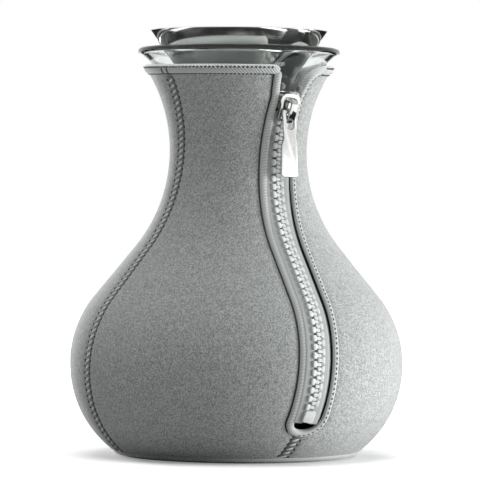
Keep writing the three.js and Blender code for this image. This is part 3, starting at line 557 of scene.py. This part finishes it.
hemAngle = math.asin((bellyHeight - jacket["hemHeight"]) / (footCurve + goreMiddle))
hem = equator - (footCurve + chainDepth) * hemAngle
collarHalf = jacket["collarWidth"] / 2
panelTop = jacket["collarRise"] - collarHalf + jacket["collarTuck"]
cutOut = jacket["slotHalf"] + jacket["bindingWidth"] + jacket["slotFit"]
zipEnd = hem + jacket["seamLength"] + cutOut


def dip(turn):
    return jacket["dip"] * max(math.cos(turn - jacket["dipTurn"]), 0) ** jacket["dipCurve"]


def opened(s, side):  # how far a side of the V above the slider, left -1 or right 1, lies open
    def share(foot):
        return max((s - foot) / (jacket["collarRise"] - foot), 0)
    fold = jacket["lapel"] * share(jacket["lapelFoot"]) ** jacket["lapelCurve"] if side > 0 else 0
    return jacket["vOpening"] * share(jacket["vFoot"]) + fold


def cutShare(s, side):  # how far an edge of the slot has turned from rolled to cut
    if side < 0:
        return 0
    return min(max((jacket["cutFrom"] - s) / (jacket["cutFrom"] - jacket["cutFull"]), 0), 1)


def rollWidth(s, side):
    return between(jacket["rollWidth"][side], jacket["cutRoll"]["width"], cutShare(s, side))


def legMiddle(s, side):  # middle of the roll from the zip's centre
    gap = between(jacket["rollGap"][side], jacket["cutRoll"]["gap"], cutShare(s, side))
    return jacket["slotHalf"] + gap + rollWidth(s, side) / 2


def zipEdge(s, side):  # edge of a gore from the zip's centre
    tuck = between(jacket["tuck"][side], jacket["cutRoll"]["tuck"], cutShare(s, side))
    half = rollWidth(s, side) / 2 - tuck
    middle = legMiddle(s, side)
    if s >= zipEnd:
        slope = opened(s + 0.5, side) - opened(s - 0.5, side)  # over one millimetre
        return middle + opened(s, side) + half * math.hypot(1, slope)
    outside = (middle + half) ** 2 - (zipEnd - s) ** 2
    return math.sqrt(max(outside, 0.01))  # round below the zip's end, and at least 0.1 mm


def panel(name, fromTurn, toTurn):
    columns, rows = jacket["columns"], jacket["rows"]

    def edgeTurn(turn, side, s):
        away = zipEdge(s, side) if turn in (0, fullTurn) else jacket["seamGap"]
        return turnOf(beside(turn, side * away, s, jacketDepth))

    edges = []
    for s in spread(hem, panelTop, rows):
        a, b = edgeTurn(fromTurn, 1, s), edgeTurn(toTurn, -1, s)
        a += fullTurn * round((fromTurn - a) / fullTurn)
        b += fullTurn * round((toTurn - b) / fullTurn)
        edges.append((s, a, b))

    def place(column, row):
        s, a, b = edges[row]
        u = column / columns
        turn = a + (b - a) * (u - 0.1 * math.sin(fullTurn * u))  # closer columns beside the seams
        s -= dip(turn) * ((s - hem) / (panelTop - hem)) ** jacket["dipFade"]
        r, z, nr, nz = outline(s, jacketDepth)
        edge = min(turn - a, b - turn) * r
        pinch = jacket["seamPinch"] * math.exp(-(edge / jacket["pinchReach"]) ** 2 * 2)
        return onTurn(r - pinch * nr, z - pinch * nz, turn), (turn - (fromTurn + toTurn) / 2) * r, s

    piece = mappedGrid(name, columns, rows, place)
    area = sum(face.area for face in piece.data.polygons)
    wide = max((b - a) * outline(s, jacketDepth)[0] for s, a, b in edges)
    piece.data.materials.append(neopreneMaterial)
    piece.data.materials.append(foamMaterial)
    modify(piece, "SOLIDIFY", thickness=jacket["neoprene"] * mm, offset=-1, use_even_offset=True,
           material_offset_rim=1)
    smooth(piece, 50)
    return piece, area, (wide * mm, (panelTop - hem) * mm)


sideSeam = jacket["sideSeam"]
seams = [0, sideSeam, math.pi, fullTurn - sideSeam, fullTurn]
panelNames = ["right_panel", "back_right_panel", "back_left_panel", "front_panel"]
for i, name in enumerate(panelNames):
    piece, area, flat = panel("neoprene_" + name, seams[i], seams[i + 1])
    finishPiece(piece, neopreneMaterial, "neoprene", "carafe", "jacket_" + name)
    print(name, "flat size", [round(v / mm, 1) for v in flat], "area", round(area / mm ** 2), "mm2")

# Bindings: the overlocked edges round the collar, the zip's slot and the base
bindingDepth = jacket["clearance"] + jacket["bindingThickness"] / 2


def surfaceFrame(at, s, along):  # a point with the directions across the strip and out of the jacket
    r, z, nr, nz = outline(s)
    turn = turnOf(at)
    out = Vector((nr * math.sin(turn), -nr * math.cos(turn), nz))
    across = along.cross(out).normalized()
    return at, across, out


def pathFrames(points, lengths):
    frames = []
    for i, at in enumerate(points):
        along = (points[min(i + 1, len(points) - 1)] - points[max(i - 1, 0)]).normalized()
        frames.append(surfaceFrame(at, lengths[i], along))
    return frames


def rolled(frames, widths, cuts):  # the section is drawn one millimetre wide, and each frame widens it
    low = jacket["cutRoll"]["height"] / jacket["bindingThickness"]
    lift = jacket["cutRoll"]["lift"]
    return [(at + out * lift * cut, across * width, out * between(1, low, cut))
            for (at, across, out), width, cut in zip(frames, widths, cuts)]


legSteps = 160
legTop = jacket["collarRise"] - collarHalf - jacket["legGap"]
legRuns = spread(legTop, zipEnd, legSteps)
endTurns = spread(math.pi, fullTurn, 32)[1:-1]
endShares = [a / math.pi - 1 for a in endTurns]
endWidths = [between(rollWidth(zipEnd, -1), rollWidth(zipEnd, 1), share) for share in endShares]
endMiddles = [between(legMiddle(zipEnd, -1), legMiddle(zipEnd, 1), share) for share in endShares]
zipLine = [(-legMiddle(s, -1) - opened(s, -1), s) for s in legRuns]
zipLine += [(middle * math.cos(a), zipEnd + middle * math.sin(a))
            for a, middle in zip(endTurns, endMiddles)]
lapelTop = jacket["collarRise"] - jacket["lapelSink"]  # the right roll runs on into the collar
lapelRuns = spread(zipEnd, lapelTop, legSteps)
zipLine += [(legMiddle(s, 1) + opened(s, 1), s) for s in lapelRuns]
zipWidths = [rollWidth(s, -1) for s in legRuns] + endWidths + [rollWidth(s, 1) for s in lapelRuns]
zipCuts = [0] * len(legRuns) + endShares + [cutShare(s, 1) for s in lapelRuns]
zipPoints = [beside(0, x, s, bindingDepth) for x, s in zipLine]
zipFrames = pathFrames(zipPoints, [s for x, s in zipLine])
zipSection = roundSection(1, jacket["bindingThickness"])
zipBinding = sweptTube("overlocked_zip_edge", rolled(zipFrames, zipWidths, zipCuts), zipSection)
finishPiece(zipBinding, rollMaterial, "binding", "carafe", "zip_binding")

collarR, collarZ = outline(jacket["collarRise"], bindingDepth)[:2]
collarShift = math.asin((collarZ - neckHeight) * math.tan(shape["zipLean"]) / collarR)


def collarEnd(side):
    return math.asin((jacket["slotHalf"] + opened(jacket["collarRise"], side)) / collarR)


def onCollar(turn):
    s = jacket["collarRise"] - dip(turn)
    r, z = outline(s, bindingDepth)[:2]
    return onTurn(r, z, turn), s


collarTurns = spread(collarShift + collarEnd(1), fullTurn + collarShift - collarEnd(-1), 240)
collarPlaces = [onCollar(turn) for turn in collarTurns]
collarFrames = pathFrames([at for at, s in collarPlaces], [s for at, s in collarPlaces])
collarSection = roundSection(jacket["collarWidth"], jacket["bindingThickness"], 20, 0.88)
collarRound = 4  # steps over which each end closes
collarRings = []
for i, (at, across, out) in enumerate(collarFrames):
    left = 1 - min(i, len(collarFrames) - 1 - i, collarRound) / collarRound
    full = math.sqrt(max(1 - left ** 2, 0.02))  # the last ring keeps a little width
    collarRings.append((at, across * full, out * full))
collarBinding = sweptTube("overlocked_collar", collarRings, collarSection)
finishPiece(collarBinding, bindingMaterial, "binding", "carafe", "collar_binding")

base = {"thickness": 3, "round": 0.8, "edge": 0.3, "binding": 3.4, "fit": 0.3}
hemR, hemZ, hemNr, hemNz = outline(hem, goreMiddle)
hemStep = base["binding"] / 2 + base["fit"]
ringR, ringZ = hemR + hemStep * hemNz, hemZ - hemStep * hemNr
ringTurns = spread(0, fullTurn, 180)
ringFrames = [(onTurn(ringR, ringZ, turn), Vector((0, 0, 1)), onTurn(1, 0, turn)) for turn in ringTurns]
baseBinding = sweptTube("overlocked_base_edge", ringFrames,
                        roundSection(base["binding"], base["binding"], 16, 1), True)
finishPiece(baseBinding, bindingMaterial, "binding", "carafe", "base_binding")

baseR = ringR - base["binding"] / 2 - base["fit"] / 2
baseDisc = spunPiece("neoprene_base", [
    (0, 0),
    (baseR - base["round"], 0),
    (baseR, base["round"]),
    (baseR, base["thickness"]),
    (0, base["thickness"]),
])
roundEdges(baseDisc, base["edge"])
for loop in baseDisc.data.loops:  # the jersey's pattern lies flat on the disc
    place = baseDisc.data.vertices[loop.vertex_index].co / mm
    baseDisc.data.uv_layers.active.data[loop.index].uv = place.xy
finishPiece(baseDisc, neopreneMaterial, "neoprene", "carafe", "jacket_base")
print("bindings and base made")

# Stitching: needle holes along the overlocked edges, as dark blocks of painted shade, and flat seams of
# slanted thread between the gores
stitch = {
    "hole": (1.1, 0.8, 0.8),  # along, across and out of the fabric
    "collarPitch": 1.8,
    "collarHoles": [(1.85, 1.1), (-1.6, 1.3)],  # two rows, across and out from the collar's middle
    "crossStep": 0.5,  # where a seam crosses the collar, a row of holes stands on each side of it
    "crossGap": 1.8,
    "crossTurns": (-0.9, -0.3, 0.3, 0.9),  # round the collar's section
    "crossSink": 0.2,
    "rollPitch": 2.2,
    "rollAcross": (0.75, 0),  # on the rolled edge and on the cut one
    "rollOut": (1.55, 1.25),
    "baseHole": (1.2, 1.2),
    "groove": {"width": 0.9, "gap": 0.15, "lift": 0.1, "short": 6},  # a dark line of painted shade beside the rolls; it ends 6 frames short of the collar
    "seamPitch": 2.7,
    "seamWidth": 4.6,
    "seamHeight": 0.7,
    "seamSink": 0.45,
    "seamEnds": (1, 3),  # clear of the hem and of the panel's top
    "seamHole": (2.4, 0.1),  # holes at both ends of a thread, across and out from the seam's middle
    "thread": (5, 1.5, 1),
    "slant": math.radians(58),
    "dive": 0.35,  # depth to which a thread's ends go
    "diveFrom": 0.4,  # and the share of its length from its middle at which they start
}


# a small dark block, painted shade standing in for a needle hole
def holeModel():
    only()
    bpy.ops.mesh.primitive_cube_add(size=mm)
    piece = added("needle_hole_shade")
    edit(piece, "FACE")
    bpy.ops.mesh.select_all(action="SELECT")
    bpy.ops.transform.resize(value=stitch["hole"])
    bpy.ops.object.mode_set(mode="OBJECT")
    roundEdges(piece, 0.2, 1)
    return piece


def threadModel():  # a thread that lies on the fabric and dives into it at both ends
    only()
    lying = (0, math.pi / 2, 0)
    bpy.ops.mesh.primitive_uv_sphere_add(segments=8, ring_count=6, radius=mm / 2, rotation=lying)
    piece = added("seam_thread")
    bpy.ops.object.transform_apply(rotation=True)
    edit(piece)
    bpy.ops.mesh.select_all(action="SELECT")
    bpy.ops.transform.resize(value=stitch["thread"])
    bpy.ops.mesh.select_all(action="DESELECT")
    bpy.ops.object.mode_set(mode="OBJECT")
    for vertex in piece.data.vertices:
        vertex.select = abs(vertex.co.x) > stitch["diveFrom"] * stitch["thread"][0] * mm
    bpy.ops.object.mode_set(mode="EDIT")
    bpy.ops.transform.translate(value=(0, 0, -stitch["dive"] * mm))
    bpy.ops.object.mode_set(mode="OBJECT")
    smooth(piece, 80)
    return piece


def walk(frames, pitch):  # places a pitch apart along frames: point, along, across and out
    places, left = [], 0
    for (a, across, out), (b, _, _) in zip(frames, frames[1:]):
        run = (b - a).length
        while left < run:
            places.append((a.lerp(b, left / run), (b - a).normalized(), across, out))
            left += pitch
        left -= run
    return places


def holesAlong(frames, pitch, sideways, lift):
    return [basis(at + across * sideways + out * lift, along, out.cross(along), out)
            for at, along, across, out in walk(frames, pitch)]


collarRun = collarFrames[collarRound:-collarRound]
edgeHoles = []
for sideways, lift in stitch["collarHoles"]:
    edgeHoles += holesAlong(collarRun, stitch["collarPitch"], sideways, lift)
crossings = [turnOf(beside(turn, 0, jacket["collarRise"], bindingDepth)) for turn in seams[1:-1]]
for at, along, across, out in walk(collarRun, stitch["crossStep"]):
    fromSeam = min(abs(math.remainder(turnOf(at) - turn, fullTurn)) * collarR for turn in crossings)
    if abs(fromSeam - stitch["crossGap"]) < stitch["crossStep"] / 2:
        for a in stitch["crossTurns"]:
            over = across * math.cos(a) - out * math.sin(a)
            up = across * math.sin(a) + out * math.cos(a)
            edgeHoles.append(basis(at + up * (collarHalf - stitch["crossSink"]), over, along, up))
halfWay = len(legRuns) + len(endTurns) // 2
leftLeg = zipFrames[:halfWay]
rightLeg = []
for (at, across, out), cut in zip(zipFrames[halfWay:], zipCuts[halfWay:]):
    at = at + across * between(*stitch["rollAcross"], cut) + out * between(*stitch["rollOut"], cut)
    rightLeg.append((at, across, out))
edgeHoles += holesAlong(rightLeg, stitch["rollPitch"], 0, 0)
edgeHoles += holesAlong(ringFrames, stitch["rollPitch"], *stitch["baseHole"])
needleHoles = copies("needle_hole_shades", holeModel(), edgeHoles)
finishPiece(needleHoles, holeShadeMaterial, "binding", "carafe")


def groove(name, frames, width):  # a dark line of painted shade beside a roll, where the stitching draws the edge in
    line = []
    for at, across, out in frames:
        at = at + across * (width / 2 + stitch["groove"]["gap"]) + out * stitch["groove"]["lift"]
        line.append((at, across, out))
    return sweptTube(name, line, roundSection(stitch["groove"]["width"], stitch["groove"]["width"], 8, 1))


lapelStart = len([s for s in lapelRuns if s > jacket["vFoot"]])
lapelLeg = zipFrames[-lapelStart:-stitch["groove"]["short"]]
only(groove("zip_edge_shade_left", leftLeg, jacket["rollWidth"][-1]),
     groove("zip_edge_shade_right", lapelLeg, jacket["rollWidth"][1]))
bpy.ops.object.join()
finishPiece(added("zip_edge_grooves"), holeShadeMaterial, "binding", "carafe")


def seamFrames(turn, low, high, depth):
    runs = spread(low, high, 200)
    return pathFrames([beside(turn, 0, s, depth) for s in runs], runs)


def slanted(at, along, across, out):
    turned = along * math.cos(stitch["slant"]) + across * math.sin(stitch["slant"])
    return basis(at, turned, out.cross(turned), out)


threadDepth = jacketDepth - stitch["seamSink"]
seamFoot = hem + stitch["seamEnds"][0]
seamTop = panelTop - stitch["seamEnds"][1]
seamLines = [seamFrames(turn, seamFoot, seamTop, threadDepth) for turn in seams[1:-1]]
seamLines.append(seamFrames(0, seamFoot, zipEnd - cutOut - stitch["seamEnds"][0], threadDepth))
threads = []
threadHoles = []
for line in seamLines:
    threads += [slanted(*place) for place in walk(line, stitch["seamPitch"])]
    sideways, lift = stitch["seamHole"]
    threadHoles += holesAlong(line, stitch["seamPitch"], sideways, lift)
    threadHoles += holesAlong(line, stitch["seamPitch"], -sideways, lift)
# the strip under the threads carries painted shade, so the gaps between the threads read dark
underSection = roundSection(stitch["seamWidth"], stitch["seamHeight"], 8)
unders = [sweptTube("seam_under_" + str(i), line, underSection) for i, line in enumerate(seamLines)]
only(*unders)
bpy.ops.object.join()
finishPiece(added("seam_under_threads_shade"), underShadeMaterial, "binding", "carafe")
seamThreads = copies("seam_threads", threadModel(), threads)
finishPiece(seamThreads, threadMaterial, "binding", "carafe")
seamHoles = copies("seam_hole_shades", holeModel(), threadHoles)
finishPiece(seamHoles, holeShadeMaterial, "binding", "carafe")
print("stitching made:", len(edgeHoles), "edge holes,", len(threads), "seam threads")

# Zip: everything along its line stands upright about the axis and leans with the jacket
zipper = {
    "pitch": 3.7,
    "reach": 3,
    "thickness": 2.6,
    "base": 2.8,
    "root": 1.45,
    "neckAndHead": [(1.1, 1.2), (0.2, 1.7), (-0.5, 1.7), (-0.9, 1.1)],  # from the zip's centre, and widths
    "toothFit": 0.3,
    "tape": 0.8,
    "tapeStart": 1.6,
    "tapeEdge": {-1: 6, 1: 8.2},
    "tapeDrop": 0.3,
    "tapeFold": 5.7,  # beyond this the tape slopes down under the jacket's edge
    "tapeSlope": 0.85,
    "tapeTail": 3,  # how far the tape runs on below the zip's end
    "tapeEnd": 18,
    "columns": 8,
    "rows": 200,
    "stopLength": 5.4,
    "stopGap": 3.2,
    "openFrom": 16,
    "chainEnd": 27.5,
    "parting": 2,
    "partingCurve": 1.3,
}
leaning = Matrix.Translation((0, 0, neckHeight)) @ Matrix.Rotation(shape["zipLean"], 4, "Y")


def chainFrame(s, sideways):  # point, across, up and out on the zip's line
    r, z, nr, nz = outline(s, chainDepth)
    at = leaning @ Vector((sideways, -r, z - neckHeight))
    turned = leaning.to_3x3()
    return at, turned @ Vector((1, 0, 0)), turned @ Vector((0, nz, nr)), turned @ Vector((0, -nr, nz))


def parted(s):  # how far each row of teeth has parted from the zip's centre
    share = max((s - zipper["openFrom"]) / (zipper["chainEnd"] - zipper["openFrom"]), 0)
    return zipper["parting"] * share ** zipper["partingCurve"]


def sideFrame(s, side):  # the same on one side, turned along it where the zip parts
    at, across, up, out = chainFrame(s, side * parted(s))
    slope = parted(s + 0.5) - parted(s - 0.5)  # over one millimetre
    up = (up + across * side * slope).normalized()
    return at, up.cross(out), up, out


stopMiddle = zipEnd - jacket["slotHalf"] + zipper["stopGap"] + zipper["stopLength"] / 2
chainStart = stopMiddle + zipper["stopLength"] / 2 + zipper["toothFit"]
tapeFoot = zipEnd - zipper["tapeTail"]
chainEnd = zipper["chainEnd"]


def toothModel():  # a block on the tape's cord that narrows to a neck, with a bulging head towards -X
    only()
    bpy.ops.mesh.primitive_cube_add(size=mm)
    piece = added("tooth")
    edit(piece, "FACE")
    root = zipper["reach"] - zipper["root"]
    bpy.ops.mesh.select_all(action="SELECT")
    bpy.ops.transform.resize(value=(root, zipper["base"], zipper["thickness"]))
    bpy.ops.transform.translate(value=((zipper["reach"] + zipper["root"]) / 2 * mm, 0, 0))
    bpy.ops.mesh.select_all(action="DESELECT")
    bpy.ops.object.mode_set(mode="OBJECT")
    for face in piece.data.polygons:
        face.select = face.normal.x < -0.9
    bpy.ops.object.mode_set(mode="EDIT")
    here, wide = zipper["root"], zipper["base"]
    for there, width in zipper["neckAndHead"]:
        bpy.ops.mesh.extrude_region_move(TRANSFORM_OT_translate={"value": ((there - here) * mm, 0, 0)})
        bpy.ops.transform.resize(value=(1, width / wide, 1))
        here, wide = there, width
    bpy.ops.object.mode_set(mode="OBJECT")
    roundEdges(piece, 0.3, 2)
    return piece


for name, side in [("left", -1), ("right", 1)]:
    first = chainStart + zipper["base"] / 2 + (zipper["pitch"] / 2 if side > 0 else 0)
    count = int((chainEnd - zipper["base"] / 2 - first) / zipper["pitch"]) + 1
    mirror = Matrix.Rotation(math.pi if side < 0 else 0, 4, "Z")
    places = [basis(*sideFrame(first + i * zipper["pitch"], side)) @ mirror for i in range(count)]
    row = copies("zip_teeth_row_" + name, toothModel(), places)
    finishPiece(row, teethMaterial, "teeth", "carafe", "zip_teeth_" + name)

    def tapePlace(column, line, side=side):
        s = between(tapeFoot, zipper["tapeEnd"], line / zipper["rows"])
        width = between(zipper["tapeStart"], zipper["tapeEdge"][side], column / zipper["columns"])
        at, across, up, out = sideFrame(s, side)
        drop = zipper["tapeDrop"] + zipper["tapeSlope"] * max(width - zipper["tapeFold"], 0)
        return at + across * side * width - out * drop, width, s

    tape = mappedGrid("zip_tape_strip_" + name, zipper["columns"], zipper["rows"], tapePlace)
    modify(tape, "SOLIDIFY", thickness=zipper["tape"] * mm, offset=0, use_even_offset=True)
    closeUp(tape)
    smooth(tape)
    finishPiece(tape, tapeMaterial, "tape", "carafe", "zip_tape_" + name)
    stop = refined("zip_top_end_" + name, "zip_top_stop_" + name, 0.4, 3)
    finishPiece(stop, stopShadeMaterial, "teeth", "carafe", "zip_top_stop_" + name)

stop = refined("zip_bottom_end", "zip_bottom_stop", 0.6, 3)
finishPiece(stop, teethMaterial, "teeth", "carafe", "zip_bottom_stop")
slider = refined("zip_slider_cast", "zip_slider", 0.3, 3)
finishPiece(slider, nickelMaterial, "nickel", "slider", "zip_slider")
tab = refined("zip_pull_cast", "zip_pull_tab", 0.35, 3)
finishPiece(tab, tabMaterial, "nickel", "pull", "zip_pull_tab")
print("zip made")

# Insert: funnel, seal, filter and lid, at heights above the waist
insert = {
    "tubeRadius": 23,
    "wall": 0.8,
    "tubeLow": 8.5,
    "throat": 34,
    "ledge": 1.6,
    "coneHeight": 20.1,
    "coneAngle": math.radians(38.7),
}


def raised(profile):
    return [(r, z + neckHeight) for r, z in profile]


wall = insert["wall"]
tubeRadius = insert["tubeRadius"]
throat = insert["throat"]
coneFoot = tubeRadius + insert["ledge"]
coneSkin = wall / math.cos(insert["coneAngle"])
rimRise = throat + insert["coneHeight"]
rimRadius = coneFoot + insert["coneHeight"] * math.tan(insert["coneAngle"])
boreFoot = coneFoot - coneSkin + wall * math.tan(insert["coneAngle"])
funnel = spunPiece("funnel_drawn", raised([
    (tubeRadius - wall, insert["tubeLow"]),
    (tubeRadius, insert["tubeLow"]),
    (tubeRadius, throat - wall),
    (coneFoot, throat),
    (rimRadius, rimRise),
    (rimRadius - coneSkin / 2, rimRise + wall / 3),
    (rimRadius - coneSkin, rimRise),
    (boreFoot, throat + wall),
    (tubeRadius - wall, throat + wall / 2),
    (tubeRadius - wall, insert["tubeLow"]),
]), 128)
roundEdges(funnel, 0.25, 3, 20)
finishPiece(funnel, steelMaterial, "steel", "insert", "pouring_funnel")

for name, solid, material, slotName, body, width in [
    ("sealing_plug", "sealing_collar", siliconeMaterial, "silicone", "insert", 0.4),
    ("filter_cage", "filter_frame", plasticMaterial, "plastic", "insert", 0.3),
    ("filter_cloth", "filter_mesh", meshMaterial, "mesh", "insert", 0.1),
    ("flap_lid", "flip_lid", steelMaterial, "steel", "lid", 0.25),
    ("flap_gasket", "lid_gasket", siliconeMaterial, "silicone", "lid", 0.3),
    ("flap_pin", "lid_hinge_pin", steelMaterial, "steel", "insert", 0.2),
    ("flap_bracket", "lid_hinge_bracket", steelMaterial, "steel", "insert", 0.25),
]:
    finishPiece(refined(name, solid, width), material, slotName, body, solid)
print("insert made")

# Floor, light and camera
shot = {
    "azimuth": math.radians(-34.6),
    "distance": 1.485,
    "height": 0.108,
    "focal": 247.5,
    "horizon": 25 / 480,  # share of the picture that the horizon lies above its middle
    "axis": 2.4 / 480,  # and that the object's axis lies left of it
    "roll": math.radians(0.5),
}


def around(turn, distance, height):  # a place by its turn to the right of the camera, in degrees
    a = shot["azimuth"] + math.radians(turn)
    return Vector((distance * math.sin(a), -distance * math.cos(a), height))


def seenDirectly(tree):  # for the camera, and in metal and glass
    path = node(tree, "LightPath")
    seen = node(tree, "Math", {0: path.outputs["Is Camera Ray"], 1: path.outputs["Is Transmission Ray"]},
                operation="MAXIMUM")
    seen = node(tree, "Math", {0: seen.outputs[0], 1: path.outputs["Is Glossy Ray"]}, operation="MAXIMUM")
    return seen.outputs[0]


studio = {
    "floorSize": 12,
    "floorDrop": 0.1,  # in mm, so that the base and the floor don't share a plane
    "paintedShadowReach": (0.1, 0.45),  # metres from the axis, over which the floor's painted shadow fades out to plain white
    "glow": (0.23, 0.92),  # white that the floor glows with at those two distances: less near the object, a painted shadow
    "fill": 0.15,
}
only()
bpy.ops.mesh.primitive_plane_add(size=studio["floorSize"], location=(0, 0, -studio["floorDrop"] * mm))
floor = added("floor_board")
floorMaterial, tree, shader = newMaterial("studio_floor_white")
setSockets(tree, shader, {"Base Color": linear("#f2f2f2"), "Roughness": 1, "Specular IOR Level": 0})
place = node(tree, "TexCoord").outputs["Object"]
away = node(tree, "VectorMath", {0: place}, operation="LENGTH").outputs["Value"]
near, far = studio["paintedShadowReach"]
dim, bright = studio["glow"]
limits = {"From Min": near, "From Max": far, "To Min": dim, "To Max": bright}
# painted shadow: the floor's glow is weaker near the object
rise = node(tree, "MapRange", {"Value": away, **limits}).outputs["Result"]
glow = node(tree, "Emission", {"Color": (1, 1, 1, 1), "Strength": rise})
lit = node(tree, "AddShader", {0: shader.outputs[0], 1: glow.outputs[0]})
shade = node(tree, "ValToRGB", {"Fac": rise}, [(dim, "#c8c8c8"), (bright, "#f2f2f2")]).outputs["Color"]
bounce = node(tree, "BsdfDiffuse", {"Color": shade})  # painted shade: for bounced light the floor is a little darker near the object
mixed = node(tree, "MixShader", {0: seenDirectly(tree), 1: bounce.outputs[0], 2: lit.outputs[0]})
tree.links.new(mixed.outputs[0], tree.nodes["Material Output"].inputs["Surface"])
floor.data.materials.append(floorMaterial)

world = bpy.data.worlds.new("studio")
world.use_nodes = True
bpy.context.scene.world = world
tree = world.node_tree
fill = tree.nodes["Background"]
setSockets(tree, fill, {"Color": (1, 1, 1, 1), "Strength": studio["fill"]})
white = node(tree, "Background", {"Color": (1, 1, 1, 1), "Strength": 1})
mixed = node(tree, "MixShader", {0: seenDirectly(tree), 1: fill.outputs[0], 2: white.outputs[0]})
tree.links.new(mixed.outputs[0], tree.nodes["World Output"].inputs["Surface"])

lamps = {  # the low one stands beside the belly and lights its underside
    "right_softbox": {"place": around(90, 1.15, 0.12), "size": (0.9, 0.24), "power": 21},
    "low_softbox": {"place": around(58, 0.14, 0.014), "size": (0.12, 0.024), "power": 0.045},
    "top_softbox": {"place": around(-20, 0.2, 1.1), "size": (0.9, 0.9), "power": 11},
    "rim_strip": {"place": around(-150, 1, 0.12), "size": (0.2, 0.24), "power": 17},
}
target = Vector((0, 0, 0.09))
for name, lamp in lamps.items():
    light = bpy.data.lights.new(name, "AREA")
    light.shape = "RECTANGLE"
    light.size, light.size_y = lamp["size"]
    light.energy = lamp["power"]
    source = bpy.data.objects.new(name, light)
    source.location = lamp["place"]
    source.rotation_euler = (target - lamp["place"]).to_track_quat("-Z", "Y").to_euler()
    source.visible_camera = False
    source.visible_glossy = False  # metal mirrors the white room and not the lamps
    bpy.context.collection.objects.link(source)

cards = {  # black cards round the object, which only metal and glass show
    "left_card": {"turn": -140, "distance": 0.22, "height": 0.075, "size": (0.3, 0.15), "upright": True},
    "right_card": {"turn": 140, "distance": 0.22, "height": 0.075, "size": (0.3, 0.15), "upright": True},
    "floor_card": {"turn": 0, "distance": 0.05, "height": 0.002, "size": (0.44, 0.36), "upright": False},
    "slider_card": {"turn": 76, "distance": 0.26, "height": 0.004, "size": (0.16, 0.16), "upright": False},
}
cardMaterial, tree, shader = newMaterial("card_black_matt")
setSockets(tree, shader, {"Base Color": linear("#1c1c1c"), "Roughness": 1})
for name, card in cards.items():
    only()
    bpy.ops.mesh.primitive_plane_add(size=1)
    board = added(name)
    board.data.transform(Matrix.Diagonal((*card["size"], 1, 1)))
    board.location = around(card["turn"], card["distance"], card["height"])
    tilt = math.pi / 2 if card["upright"] else 0
    board.rotation_euler = (tilt, 0, shot["azimuth"] + math.radians(card["turn"]))
    board.data.materials.append(cardMaterial)
    board.visible_camera = False
    board.visible_diffuse = False
    board.visible_shadow = False

camera = bpy.data.objects.new("camera", bpy.data.cameras.new("camera"))
camera.data.lens = shot["focal"]
camera.data.sensor_width = 36
camera.data.shift_x = shot["axis"]
camera.data.shift_y = -shot["horizon"]
camera.data.clip_start = 0.05
stand = Matrix.Translation(around(0, shot["distance"], shot["height"]))
aim = Matrix.Rotation(shot["azimuth"], 4, "Z") @ Matrix.Rotation(math.pi / 2, 4, "X")
camera.matrix_world = stand @ aim @ Matrix.Rotation(shot["roll"], 4, "Z")
bpy.context.collection.objects.link(camera)
bpy.context.scene.camera = camera
bpy.context.scene.view_settings.view_transform = "Standard"

print("scene ready")
